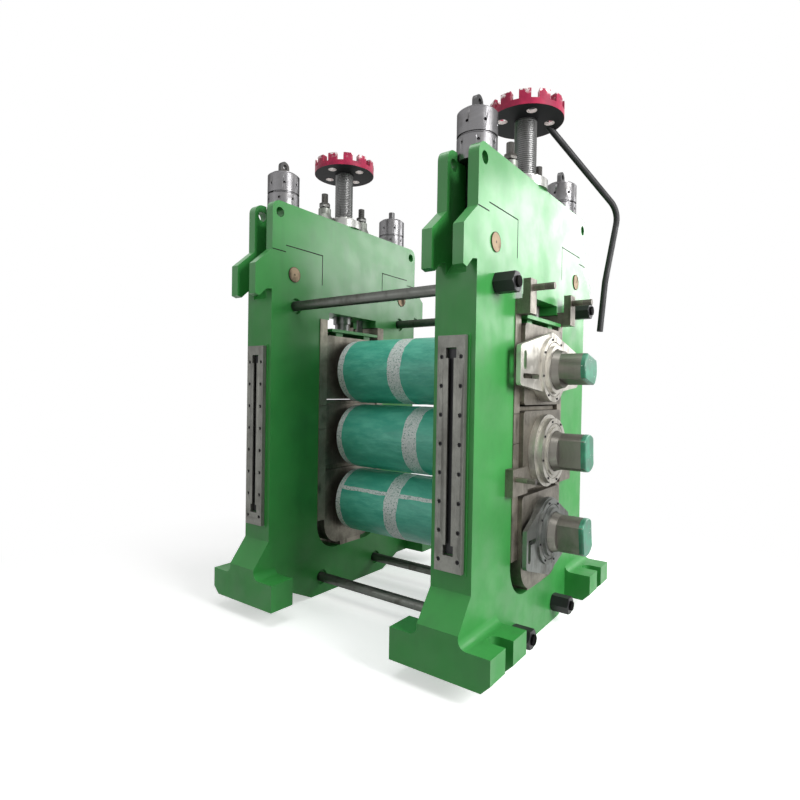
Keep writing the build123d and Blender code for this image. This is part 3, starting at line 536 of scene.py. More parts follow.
@dataclass(frozen=True)
class PlateSteel(Finish):
    """Flat ground steel with crossed scratches and oil stains."""

    stain: Colour = (0.035, 0.028, 0.02)
    stain_amount: float = 0.6
    shine: float = 1.5

    def dress(self, look: FinishSketch) -> None:
        """Adds scratches both ways, stains and an uneven polish.

        Args:
            look: The material's nodes.
        """
        fine = look.noise(look.stretched(look.place, (420.0, 420.0, 60.0)), 1.0, 3.0, 0.6)
        broad = look.noise(look.place, 9.0, 6.0, 0.7)
        scratches = look.times(look.span(fine, 0.0, 1.0, 0.35, 0.65), broad)
        colour = look.blend(look.span(scratches, 0.16, 0.36), self.colour, paler(self.colour, self.shine))
        look.feed(Base_Color=look.blend(look.dirt(7.0, self.stain_amount), colour, self.stain))
        look.polish(scratches, 0.15, 0.4, 0.15, -0.05)
        look.bump(scratches, 0.15, 0.001)


@dataclass(frozen=True)
class StudSteel(PlateSteel):
    """Plate steel with threaded studs that stand out along X or up along Z."""

    start: float = 0.0
    upright: bool = False
    pitch: float = 0.004
    # Colour of the painted shade in the bottoms of the thread grooves.
    thread: Colour = (0.05, 0.045, 0.04)

    def dress(self, look: FinishSketch) -> None:
        """Adds the thread grooves beyond the start to what plate steel has, with their bottoms darkened as
        painted shade.

        Args:
            look: The material's nodes.
        """
        super().dress(look)
        parts = look.split(look.place)
        along = parts[2] if self.upright else look.unsigned(parts[0])
        grooves = look.group(SharedEffects.thread_grooves(), Along=along, Start=self.start, Pitch=self.pitch)
        # Painted shade: the deeper the groove, the nearer its colour comes to the thread colour.
        shaded = look.times(look.span(grooves[0], -1.0, 0.6, 1.0, 0.35), grooves[1])
        look.feed(Base_Color=look.blend(shaded, look.colour, self.thread))
        look.bump(grooves[0], 0.6, 0.001)


@dataclass(frozen=True)
class WheelPaint(Finish):
    """Red paint on the rim and teeth of a wheel, bare where bars have worn it, over a black web."""

    centre_x: float = 0.0
    rim_inner: float = 0.172
    rim_outer: float = 0.216
    teeth_bottom: float = 0.0
    turn: float = 0.0
    deep: Colour = (0.33, 0.016, 0.06)
    bare: Colour = (0.72, 0.68, 0.66)
    web: Colour = (0.01, 0.009, 0.011)
    wear_start: float = 0.012
    wear_full: float = 0.05
    hole_circle: float = 0.138
    hole_radius: float = 0.0292

    def dress(self, look: FinishSketch) -> None:
        """Paints by the distance from the wheel's axis and by height.

        Args:
            look: The material's nodes.
        """
        parts = look.split(look.place)
        across = look.minus(parts[0], self.centre_x)
        radius = look.radius(across, parts[1])
        edge = look.times(look.noise(look.place, 30.0, 4.0), 0.006)
        face = look.above(radius, self.rim_outer - 0.002)
        raised = look.above(look.plus(parts[2], edge), self.teeth_bottom)
        painted = look.either(face, look.times(raised, look.above(radius, self.rim_inner - 0.004)))
        patches = look.span(look.noise(look.place, 16.0, 4.0), 0.35, 0.65)
        tone = look.blend(patches, self.colour, self.deep)
        wear = look.span(look.noise(look.place, 38.0, 5.0, 0.6), 0.52, 0.57)
        high = look.span(parts[2], self.teeth_bottom + self.wear_start, self.teeth_bottom + self.wear_full)
        worn = look.times(look.times(wear, high), painted)
        bare = look.either(worn, self.hole_walls(look, across, parts[1]))
        look.feed(Base_Color=look.blend(bare, look.blend(painted, self.web, tone), self.bare),
                  Metallic=look.times(bare, 0.8), Specular_IOR_Level=0.25,
                  Roughness=look.span(painted, 0.0, 1.0, 0.62, self.roughness))
        look.bump(look.noise(look.place, 90.0), 0.12, 0.002)

    def hole_walls(self, look: FinishSketch, across: Socket, along: Socket) -> Socket:
        """Finds the walls of the four holes in the web, which stay bare.

        Args:
            look: The material's nodes.
            across: Distance from the axis along X.
            along: Distance from the axis along Y.

        Returns:
            One inside the holes, zero elsewhere.
        """
        cosine, sine = math.cos(math.radians(self.turn)), math.sin(math.radians(self.turn))
        first = look.unsigned(look.plus(look.times(across, cosine), look.times(along, sine)))
        second = look.unsigned(look.minus(look.times(along, cosine), look.times(across, sine)))
        far = look.minus(look.either(first, second), self.hole_circle)
        near = look.math("MINIMUM", first, second)
        return look.below(look.squares(far, near), self.hole_radius * self.hole_radius)


@dataclass(frozen=True)
class TapeBand:
    """A band of whitish tape round a roll, between two places along X."""

    start: float
    end: float


@dataclass(frozen=True)
class PackingFilm(Finish):
    """Creased stretch film on a roll, with bands of paler tape wound over it."""

    centre_z: float = 0.0
    bands: Tuple[TapeBand, ...] = ()
    strip: Optional[TapeBand] = None
    strip_angle: float = 0.0
    strip_half_width: float = 0.013
    wound_radius: float = 0.217
    tape: Colour = (0.92, 0.95, 0.96)
    speck: Colour = (0.05, 0.24, 0.2)
    light: Colour = (0.15, 0.66, 0.5)

    def dress(self, look: FinishSketch) -> None:
        """Adds streaks, creases, the tape bands and their crinkled specks.

        Args:
            look: The material's nodes.
        """
        parts = look.split(look.place)
        turn = look.math("ARCTAN2", look.minus(parts[2], self.centre_z), parts[1])
        arc = look.times(turn, self.wound_radius)
        unrolled = look.add("ShaderNodeCombineXYZ", X=parts[0], Y=arc).outputs[0]
        streaks = look.noise(look.stretched(unrolled, (5.0, 14.0, 1.0)), 1.0, 5.0, 0.6)
        tone = look.blend(look.span(streaks, 0.35, 0.7), self.colour, self.light)
        wobble = look.times(look.minus(look.noise(unrolled, 9.0), 0.5), 0.03)
        along = look.plus(parts[0], wobble)
        masks = [look.between(along, band.start, band.end) for band in self.bands]
        if self.strip:
            off = look.minus(look.plus(arc, wobble), self.strip_angle * self.wound_radius)
            narrow = look.below(look.unsigned(off), self.strip_half_width)
            masks.append(look.times(narrow, look.between(parts[0], self.strip.start, self.strip.end)))
        cells = look.add("ShaderNodeTexVoronoi", {"feature": "DISTANCE_TO_EDGE"},
                         Vector=look.stretched(unrolled, (70.0, 38.0, 1.0)), Scale=1.0).outputs[0]
        crinkle = look.noise(look.stretched(unrolled, (60.0, 100.0, 1.0)), 1.0, 4.0, 0.7)
        specks = look.either(look.span(crinkle, 0.57, 0.62), look.span(cells, 0.06, 0.0, 0.0, 0.5))
        taped = reduce(look.either, masks)
        look.feed(Base_Color=look.blend(taped, tone, look.blend(specks, self.tape, self.speck)),
                  Coat_Weight=0.2, Coat_Roughness=0.22)
        look.polish(streaks, 0.3, 0.7, 0.0, 0.2)
        creases = look.noise(look.stretched(unrolled, (18.0, 46.0, 1.0)), 1.0, 6.0, 0.65)
        folds = look.unsigned(look.minus(look.noise(unrolled, 11.0, 4.0), 0.5))
        look.bump(look.plus(creases, look.times(folds, 1.5)), 0.8, 0.005)


@dataclass(frozen=True)
class EndFilm(Finish):
    """Film drawn smooth over a roll's end, with a few bright specks of dust."""

    speck: Colour = (0.8, 0.85, 0.82)

    def dress(self, look: FinishSketch) -> None:
        """Adds cloudy tone, soft ripples and specks.

        Args:
            look: The material's nodes.
        """
        cloud = look.noise(look.place, 16.0, 4.0)
        colour = look.blend(look.span(cloud, 0.35, 0.7), self.colour, paler(self.colour, 1.8))
        cells = look.add("ShaderNodeTexVoronoi", Vector=look.place, Scale=32.0).outputs[0]
        look.feed(Base_Color=look.blend(look.span(cells, 0.1, 0.06), colour, self.speck))
        look.polish(cloud, 0.3, 0.7, 0.0, 0.15)
        look.bump(look.noise(look.place, 24.0), 0.25, 0.003)


def set_out(name: str, data: bpy.types.ID) -> Piece:
    """Puts a new object in the scene.

    Args:
        name: The object's name.
        data: Its mesh, lamp or camera.

    Returns:
        The object.
    """
    thing = bpy.data.objects.new(name, data)
    bpy.context.scene.collection.objects.link(thing)
    return thing


def set_down(bm: Shape, name: str) -> bpy.types.Mesh:
    """Turns a bmesh into a mesh and frees it.

    Args:
        bm: The shape.
        name: The mesh's name.

    Returns:
        The mesh.
    """
    mesh = bpy.data.meshes.new(name)
    bm.to_mesh(mesh)
    bm.free()
    return mesh


def finish_mesh(bm: Shape, name: str, finish: Material, body: str = "frame") -> Piece:
    """Turns a bmesh into a piece of the stand that rides on a CAD body.

    Args:
        bm: The shape, in the row frame; it is freed here.
        name: The piece's name.
        finish: Its material.
        body: The CAD body that it moves with.

    Returns:
        The new object.
    """
    bmesh.ops.remove_doubles(bm, verts=bm.verts, dist=TINY)
    bmesh.ops.recalc_face_normals(bm, faces=bm.faces)
    mesh = set_down(bm, name)
    mesh.shade_smooth()
    mesh.set_sharp_from_angle(angle=math.radians(32))
    mesh.materials.append(finish)
    piece = set_out(name, mesh)
    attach(piece, body)
    log.info("%s: %d faces on %s", name, len(mesh.polygons), body)
    return piece


def spin_outline(bm: Shape, outline: Sequence[Tuple[float, float]], centre: Point, steps: int,
                 turns: int = 1, rise: float = 0.0) -> None:
    """Spins a profile of (radius, height) points about an upright axis.

    Args:
        bm: Where the shape goes.
        outline: The profile's points in order.
        centre: A point of the axis, to which heights are added.
        steps: Faces round one turn.
        turns: How many times the profile goes round.
        rise: How far it climbs in a turn.
    """
    verts = [bm.verts.new((centre[0] + radius, centre[1], centre[2] + height)) for radius, height in outline]
    edges = [bm.edges.new(pair) for pair in zip(verts, verts[1:])]
    bmesh.ops.spin(bm, geom=verts + edges, cent=centre, axis=UP, dvec=(0, 0, rise / steps),
                   angle=FULL_TURN * turns, steps=steps * turns, use_merge=rise == 0.0)


def grow(bm: Shape, edges: Edges) -> Tuple[Verts, Edges]:
    """Extrudes a ring of edges.

    Args:
        bm: The shape.
        edges: The ring.

    Returns:
        The new ring's corners and edges.
    """
    grown = bmesh.ops.extrude_edge_only(bm, edges=edges)["geom"]
    verts = [part for part in grown if isinstance(part, bmesh.types.BMVert)]
    fresh = set(verts)
    rim = [part for part in grown if isinstance(part, bmesh.types.BMEdge) and set(part.verts) <= fresh]
    return verts, rim


def block(bm: Shape, centre: Point, size: Point) -> Verts:
    """Adds a square block and gives its corners."""
    place = Matrix.Translation(centre) @ Matrix.Diagonal((*size, 1.0))
    return bmesh.ops.create_cube(bm, size=1.0, matrix=place)["verts"]


def prism(bm: Shape, centre: Place, axis: Place, radius: float, depth: float, sides: int) -> None:
    """Adds a round or hexagonal block.

    Args:
        bm: Where the block goes.
        centre: The middle of its base.
        axis: The way in which it stands.
        radius: Its corner radius.
        depth: Its height.
        sides: The number of its sides.
    """
    turn = Vector(UP).rotation_difference(Vector(axis)).to_matrix().to_4x4()
    place = Matrix.Translation(Vector(centre) + Vector(axis) * depth / 2) @ turn
    bmesh.ops.create_cone(bm, cap_ends=True, segments=sides, radius1=radius, radius2=radius, depth=depth,
                          matrix=place)


def socket_screw(bm: Shape, centre: Place, axis: Place, radius: float, height: float) -> None:
    """Adds a cap screw head with its sunk socket.

    Args:
        bm: Where the head goes.
        centre: The middle of its seat.
        axis: The way in which it stands.
        radius: The head's radius.
        height: The head's height.
    """
    way = Vector(axis)
    before = set(bm.faces)
    prism(bm, centre, axis, radius, height, 18)
    ends = [face for face in bm.faces if face not in before and len(face.verts) > 4]
    lid = max(ends, key=lambda face: face.calc_center_median().dot(way))
    bmesh.ops.inset_region(bm, faces=[lid], thickness=radius * 0.45, use_even_offset=True)
    sunk = bmesh.ops.extrude_discrete_faces(bm, faces=[lid])["faces"][0]
    bmesh.ops.translate(bm, verts=sunk.verts, vec=-way * height * 0.6)


def drilled_copy(node: str, holes: Iterable[Hole], name: str, finish: Material) -> Piece:
    """Copies a CAD node, drills blind holes in the copy and lets it stand for the node.

    Args:
        node: The CAD node.
        holes: Mouth, inward direction, radius and depth of each hole.
        name: The copy's name.
        finish: Its material.

    Returns:
        The drilled piece.
    """
    overlap = 0.01
    bm = bmesh.new()
    bm.from_mesh(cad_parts[node].data)
    bmesh.ops.remove_doubles(bm, verts=bm.verts, dist=TINY)
    cutter = bmesh.new()
    for mouth, inward, radius, depth in holes:
        start = Vector(mouth) - Vector(inward) * overlap
        prism(cutter, start, inward, radius, depth + overlap, 20)
    work = set_out(name + "_work", set_down(bm, name + "_plain"))
    drills = set_out(name + "_drills", set_down(cutter, name + "_drills"))
    cut = work.modifiers.new("drill", "BOOLEAN")
    cut.operation = "DIFFERENCE"
    cut.solver = "EXACT"
    cut.object = drills
    bpy.context.view_layer.update()
    evaluated = work.evaluated_get(bpy.context.evaluated_depsgraph_get())
    result = bmesh.new()
    result.from_mesh(bpy.data.meshes.new_from_object(evaluated))
    for mesh in (work.data, drills.data):
        bpy.data.meshes.remove(mesh)
    bmesh.ops.dissolve_limit(result, angle_limit=math.radians(0.5), verts=result.verts, edges=result.edges)
    piece = finish_mesh(result, name, finish)
    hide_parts(node)
    return piece


@dataclass
class FilmedRoll:
    """The packing film on one roll: round the barrel, over its ends, and over the wobblers."""

    roll: RollName
    axis_z: float
    bands: Tuple[TapeBand, ...]
    wobbler_turn: float
    loose: Tuple[float, ...]
    strip: Optional[TapeBand] = None
    strip_angle: float = 2.62
    loose_height: float = 0.0075
    loose_spread: float = 11.0
    loose_fade: float = 0.05
    fold_height: float = 0.0009
    radius: float = 0.2168
    half_length: float = 0.5506
    edge_round: float = 0.0006
    fold_radius: float = 0.19
    around: int = 160
    along: int = 84
    wobbler_radius: float = 0.1025
    wobbler_flat: float = 0.071
    wobbler_end: float = 1.1222
    chamfer: float = 0.0052
    skirt: float = 0.026
    film: float = 0.0008

    def barrel(self) -> Piece:
        """Winds the film round the barrel and folds it over both ends.

        Returns:
            The piece.
        """
        material = PackingFilm(self.roll.value + "_film", (0.07, 0.5, 0.37), 0.34, centre_z=self.axis_z,
                               bands=self.bands, strip=self.strip, strip_angle=self.strip_angle).build()
        bm = bmesh.new()
        radius, place = self.fold_radius, -self.half_length
        start = Matrix.Translation((place, 0, self.axis_z)) @ Matrix.Rotation(math.pi / 2, 4, "Y")
        bmesh.ops.create_circle(bm, segments=self.around, radius=radius, matrix=start)
        edges = list(bm.edges)
        first, length = place + self.edge_round, 2 * (self.half_length - self.edge_round)
        stations = [(place, self.radius)]
        stations += [(first + length * number / self.along, self.radius + self.edge_round)
                     for number in range(self.along + 1)]
        stations += [(self.half_length, self.radius), (self.half_length, self.fold_radius)]
        for x, target in stations:
            verts, edges = grow(bm, edges)
            bmesh.ops.scale(bm, verts=verts, vec=(1, target / radius, target / radius),
                            space=Matrix.Translation((0, 0, -self.axis_z)))
            bmesh.ops.translate(bm, verts=verts, vec=(x - place, 0, 0))
            radius, place = target, x
        self.crease(bm)
        piece = finish_mesh(bm, self.roll.value + "_barrel_film", material, self.roll.value)
        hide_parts(self.roll.value + "_wrap")
        return piece

    def crease(self, bm: Shape) -> None:
        """Presses soft folds into the film and lets it hang loose towards the next roll.

        Args:
            bm: The wound film.
        """
        seed = self.axis_z * 7.0
        for vert in bm.verts:
            arm = Vector((0, vert.co.y, vert.co.z - self.axis_z))
            if arm.length < self.radius - 0.002 or abs(vert.co.x) > self.half_length - 0.001:
                continue
            turn = math.atan2(arm.z, arm.y)
            place = Vector((vert.co.x * 14.0, math.cos(turn) * 6.0, math.sin(turn) * 6.0 + seed))
            fold = 1.0 - abs(noise.noise(place)) * 3.0
            height = max(-1.0, min(1.0, fold)) * self.fold_height
            inward = min(1.0, (self.half_length - abs(vert.co.x)) / self.loose_fade)
            for centre in self.loose:
                away = abs((math.degrees(turn) - centre + 180.0) % 360.0 - 180.0) / self.loose_spread
                if away < 1.0:
                    uneven = 0.82 + 0.18 * noise.noise(Vector((vert.co.x * 9.0, centre, seed)))
                    height += self.loose_height * math.cos(away * math.pi / 2) ** 1.3 * uneven * inward
            vert.co += arm.normalized() * height

    def end_film(self, side: Side, material: Material) -> Piece:
        """Stretches film over the face of one wobbler, with a short skirt back along it.

        Args:
            side: Which end of the roll.
            material: The film.

        Returns:
            The piece.
        """
        bm = bmesh.new()
        bmesh.ops.create_circle(bm, segments=72, radius=1.0)
        edges, outer = list(bm.edges), set(bm.verts)
        for scale in (0.9, 0.72, 0.5, 0.28, 0.1):
            verts, edges = grow(bm, edges)
            for vert in verts:
                vert.co.xy = vert.co.xy.normalized() * scale
        bmesh.ops.edgeloop_fill(bm, edges=edges)
        edges = [edge for edge in bm.edges if set(edge.verts) <= outer]
        for depth in (self.film, 0.004, 0.012, self.skirt):
            verts, edges = grow(bm, edges)
            for vert in verts:
                vert.co.z = -depth
        for vert in bm.verts:
            vert.co = self.on_wobbler(side, vert.co)
        name = f"{self.roll.value}_{side.word}_end_film"
        piece = finish_mesh(bm, name, material, self.roll.value)
        return piece

    def on_wobbler(self, side: Side, point: Vector) -> Vector:
        """Finds where a point of the round, flat film lies on the wobbler.

        Args:
            side: Which end of the roll.
            point: The point, at most 1 from the middle, with its depth below the face as -Z.

        Returns:
            Its place on the wobbler.
        """
        direction = math.atan2(point.y, point.x)
        share = min(1.0, point.xy.length)
        depth = -point.z
        to_flat = self.wobbler_flat / max(abs(math.cos(direction)), TINY)
        reach = min(self.wobbler_radius, to_flat) - self.chamfer
        ripple = noise.noise(Vector((math.cos(direction) * 5, math.sin(direction) * 5, share * 4)))
        edge = reach * share
        if share > 0.95:
            edge = reach + min(depth, self.chamfer) + self.film
            edge += abs(ripple) * 0.001 * min(1.0, depth / 0.02)
        out = self.wobbler_end + 0.0012 - depth + ripple * 0.0003
        turned = direction + math.radians(self.wobbler_turn)
        return Vector((side.value * out, edge * math.cos(turned), self.axis_z + edge * math.sin(turned)))

    def build(self) -> List[Piece]:
        """Makes all the film of this roll.

        Returns:
            Its pieces.
        """
        plain = EndFilm(self.roll.value + "_end_film", (0.03, 0.17, 0.1), 0.3).build()
        return [self.barrel()] + [self.end_film(side, plain) for side in Side]


@dataclass
class AdjustingScrew:
    """A screw with a real helical thread between its nut and its wheel."""

    side: Side
    sizes: StandSizes
    pitch: float = 0.012
    crest: float = 0.0648
    root: float = 0.0588
    tip: float = 0.052
    tip_length: float = 0.06
    nut_top: float = 0.08
    spigot: float = 0.045
    edge: float = 0.002
    relief: float = 0.003

    def build(self, material: Material) -> Piece:
        """Turns the screw and cuts its thread.

        Args:
            material: The screw's steel.

        Returns:
            The piece that stands for the screw's solid.
        """
        node = self.side.word + "_screw"
        bottom, end = (corner[2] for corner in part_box(node))
        centre = (self.sizes.middle_x(self.side), 0.0, 0.0)
        top = self.sizes.wheel_bottom
        start = self.sizes.cap_top + self.nut_top - self.pitch
        turns = math.ceil((top - start) / self.pitch) - 1
        flanks = ((self.root, 0.0), (self.crest, 0.34), (self.crest, 0.52), (self.root, 0.86),
                  (self.root, 1.0))
        bm = bmesh.new()
        spin_outline(bm, [(radius, start + self.pitch * share) for radius, share in flanks], centre, 40,
                     turns, self.pitch)
        below, core = bottom + self.tip_length, self.root - 0.001
        spin_outline(bm, [(0.0, bottom), (self.tip - self.edge, bottom), (self.tip, bottom + self.edge),
                          (self.tip, below), (self.crest, below), (self.crest, start - self.edge),
                          (core, start), (core, top - 2 * self.edge), (self.crest, top - self.relief),
                          (self.crest, top), (self.spigot, top), (self.spigot, end - self.edge),
                          (self.spigot - self.edge, end), (0.0, end)], centre, 48)
        piece = finish_mesh(bm, self.side.word + "_threaded_screw", material, node)
        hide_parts(node)
        return piece


@dataclass
class ClampGear:
    """The clamp nuts with their tommy holes, the drilled rest rails, and dark strips of painted shade in the
    rails' T-slots and the caps' seams.
    """

    sizes: StandSizes
    bolt_offset: float = 0.583
    nut_seat_drop: float = 0.04
    nut_radius: float = 0.1025
    tommy_radius: float = 0.008
    tommy_depth: float = 0.016
    tommy_count: int = 7
    tommy_rows: Tuple[float, float] = (0.085, 0.181)
    tommy_row_shift: float = 0.35
    tommy_first_turn: float = -1.9
    rail_face: float = 0.796
    rail_columns: float = 0.053
    rail_rows: int = 8
    rail_pitch: float = 0.138
    rail_first: float = 0.613
    rail_hole: float = 0.011
    rail_hole_depth: float = 0.012
    slot_floor: float = 0.773
    slot_low: float = 0.638
    slot_high: float = 1.62
    slot_width: float = 0.054
    lining: float = 0.002
    seam_width: float = 0.003
    seam_step: float = 0.042
    seam_drop: float = 0.31
    seam_turn: float = 0.33
    seam_middle: float = 0.655
    seam_end: float = 0.763
    seam_length: float = 0.2
    dirt_spread: float = 0.0018
    dirt_depth: float = 0.0033

    def nut_holes(self) -> List[Hole]:
        """Lists the tommy holes of all the clamp nuts.

        Returns:
            Mouth, inward direction, radius and depth of each.
        """
        seat = self.sizes.cap_top - self.nut_seat_drop
        holes = []
        rows, numbers = enumerate(self.tommy_rows), range(self.tommy_count)
        for side, end, (row, height), number in product(Side, End, rows, numbers):
            middle = Vector((self.sizes.middle_x(side), end.value * self.bolt_offset, seat + height))
            share = (number + self.tommy_row_shift * row) / self.tommy_count
            turn = FULL_TURN * share + self.tommy_first_turn
            out = Vector((math.cos(turn), math.sin(turn), 0))
            mouth = tuple(middle + out * self.nut_radius)
            holes.append((mouth, tuple(-out), self.tommy_radius, self.tommy_depth))
        return holes

    def rail_holes(self, side: Side) -> List[Hole]:
        """Lists the bolt holes of one housing's rails.

        Args:
            side: Which housing.

        Returns:
            Mouth, inward direction, radius and depth of each.
        """
        holes = []
        for end, column, row in product(End, (-1, 1), range(self.rail_rows)):
            mouth = (self.sizes.middle_x(side) + column * self.rail_columns, end.value * self.rail_face,
                     self.rail_first + row * self.rail_pitch)
            holes.append((mouth, (0.0, -end.value, 0.0), self.rail_hole, self.rail_hole_depth))
        return holes

    def rail_screws(self, side: Side, material: Material) -> Piece:
        """Sets a cap screw deep in each rail hole.

        Args:
            side: Which housing.
            material: The screws' steel.

        Returns:
            The screws as one piece.
        """
        bm = bmesh.new()
        for mouth, inward, radius, depth in self.rail_holes(side):
            seat = Vector(mouth) + Vector(inward) * (depth - 0.0005)
            socket_screw(bm, seat, -Vector(inward), radius * 0.8, 0.006)
        return finish_mesh(bm, side.word + "_rail_screws", material)

    def slot_lining(self, side: Side, material: Material) -> Piece:
        """Lays a dark strip in the bottom of each T-slot, as painted shade in the slot.

        Args:
            side: Which housing.
            material: The strip's steel.

        Returns:
            The strips as one piece.
        """
        bm = bmesh.new()
        # Painted shade: a thin dark strip on the floor of each T-slot, where shade falls in the slot.
        size = (self.slot_width, self.lining, self.slot_high - self.slot_low)
        for end in End:
            middle = (self.slot_low + self.slot_high) / 2
            block(bm, (self.sizes.middle_x(side), end.value * self.slot_floor, middle), size)
        return finish_mesh(bm, side.word + "_slot_lining", material)

    def seam_dirt(self, side: Side, material: Material) -> Piece:
        """Lays thin dark strips over the seams between a cap and its posts, on both faces, as painted shade
        in the seams.

        Args:
            side: Which housing.
            material: The black of the painted seam shade.

        Returns:
            The strips as one piece.
        """
        # Painted shade: the strips lie over the seam grooves and spread a little past them, where shade falls
        # in the seams.
        bm = bmesh.new()
        low = self.sizes.cap_top - self.seam_drop
        inner = low + self.seam_step
        spread, above = self.dirt_spread, self.seam_width + self.dirt_spread
        bars = (
            (self.seam_middle, self.seam_end, low - spread, low + above),
            (self.seam_turn, self.seam_middle, inner - spread, inner + above),
            (self.seam_turn - above, self.seam_turn + spread, inner - self.seam_length, inner + above),
        )
        out = self.sizes.outer_face - self.sizes.housing_x - self.seam_width + self.dirt_depth / 2
        for face, end, (start, stop, bottom, top) in product((-1, 1), End, bars):
            x = self.sizes.middle_x(side) + face * out
            block(bm, (x, end.value * (start + stop) / 2, (bottom + top) / 2),
                  (self.dirt_depth, stop - start, top - bottom))
        return finish_mesh(bm, side.word + "_seam_dirt", material)

    def build(self, nut_steel: Material, rail_steel: Material, dark_steel: Material) -> List[Piece]:
        """Makes the drilled nuts and rails, the screws in the rails, and the dark strips of painted shade in
        the T-slots and the cap seams.

        Args:
            nut_steel: Finish of the clamp nuts.
            rail_steel: Finish of the rails.
            dark_steel: Finish of the screws in the rails and of the painted shade strips in the T-slots.

        Returns:
            The pieces.
        """
        # The seam black is the colour of the painted shade in the cap seams.
        dirt = Finish("seam_black", (0.004, 0.005, 0.004), 0.85).build()
        pieces = [drilled_copy("clamp_nuts", self.nut_holes(), "drilled_clamp_nuts", nut_steel)]
        for side in Side:
            pieces += [
                drilled_copy(side.word + "_rest_rails", self.rail_holes(side), side.word + "_drilled_rails",
                             rail_steel),
                self.rail_screws(side, dark_steel),
                self.slot_lining(side, dark_steel),
                self.seam_dirt(side, dirt),
            ]
        return pieces


@dataclass
class ChockPackers:
    """Thin packing plates that lie on the middle and bottom chocks and darken the gaps above them."""

    sizes: StandSizes
    half_width: float = 0.262
    half_depth: float = 0.1
    middle_thickness: float = 0.0235
    bottom_thickness: float = 0.0325
    edge: float = 0.002

    def build(self, material: Material) -> List[Piece]:
        """Lays a plate on each of the four chocks.

        Args:
            material: The plates' steel.

        Returns:
            The plates, one piece for each housing.
        """
        pieces = []
        for side in Side:
            bm = bmesh.new()
            for part, thickness in (("middle", self.middle_thickness), ("bottom", self.bottom_thickness)):
                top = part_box(f"{side.word}_{part}_chock")[1][2]
                corners = set(block(bm, (self.sizes.middle_x(side), 0.0, top + thickness / 2),
                                    (2 * self.half_depth, 2 * self.half_width, thickness)))
                edges = [edge for edge in bm.edges if set(edge.verts) <= corners]
                bmesh.ops.bevel(bm, geom=edges, affect="EDGES", offset=self.edge, segments=2, profile=0.5,
                                material=-1)
            pieces.append(finish_mesh(bm, side.word + "_chock_packers", material))
        return pieces


@dataclass
class CoverBolts:
    """Cap screws round the rings of the bearing covers, and hexagon bolts on the screw nuts."""

    sizes: StandSizes
    outer_ring_face: float = 0.9185
    middle_ring_face: float = 0.9255
    ring_radius: float = 0.17
    count: int = 8
    head_radius: float = 0.0065
    head_height: float = 0.005
    nut_bolt_circle: float = 0.105
    nut_flange_top: float = 0.054
    nut_bolt_count: int = 6
    nut_bolt_radius: float = 0.0135
    nut_bolt_height: float = 0.013

    def ring(self, side: Side, roll: RollName, material: Material) -> Piece:
        """Sets the screws of one cover.

        Args:
            side: Which housing.
            roll: Which roll's cover.
            material: The screws' steel.

        Returns:
            The screws as one piece.
        """
        face = self.middle_ring_face if roll is RollName.MIDDLE else self.outer_ring_face
        bm = bmesh.new()
        for number in range(self.count):
            turn = FULL_TURN * (number + 0.3) / self.count
            seat = (side.value * face, self.ring_radius * math.cos(turn),
                    self.sizes.roll_z[roll] + self.ring_radius * math.sin(turn))
            socket_screw(bm, seat, (side.value, 0.0, 0.0), self.head_radius, self.head_height)
        body = "top_chock_set" if roll is RollName.TOP else "frame"
        return finish_mesh(bm, f"{side.word}_{roll.word}_cover_screws", material, body)

    def nut_bolts(self, side: Side, material: Material) -> Piece:
        """Sets the bolts of one screw nut's flange.

        Args:
            side: Which housing.
            material: The bolts' steel.

        Returns:
            The bolts as one piece.
        """
        bm = bmesh.new()
        for number in range(self.nut_bolt_count):
            turn = FULL_TURN * (number + 0.5) / self.nut_bolt_count
            seat = (self.sizes.middle_x(side) + self.nut_bolt_circle * math.cos(turn),
                    self.nut_bolt_circle * math.sin(turn), self.sizes.cap_top + self.nut_flange_top)
            prism(bm, seat, UP, self.nut_bolt_radius, self.nut_bolt_height, 6)
        return finish_mesh(bm, side.word + "_screw_nut_bolts", material)

    def build(self, dark: Material, bright: Material) -> List[Piece]:
        """Makes all the small fasteners.

        Args:
            dark: Finish of the cover screws.
            bright: Finish of the nut bolts.

        Returns:
            The pieces.
        """
        pieces = [self.ring(side, roll, dark) for side in Side for roll in RollName]
        return pieces + [self.nut_bolts(side, bright) for side in Side]


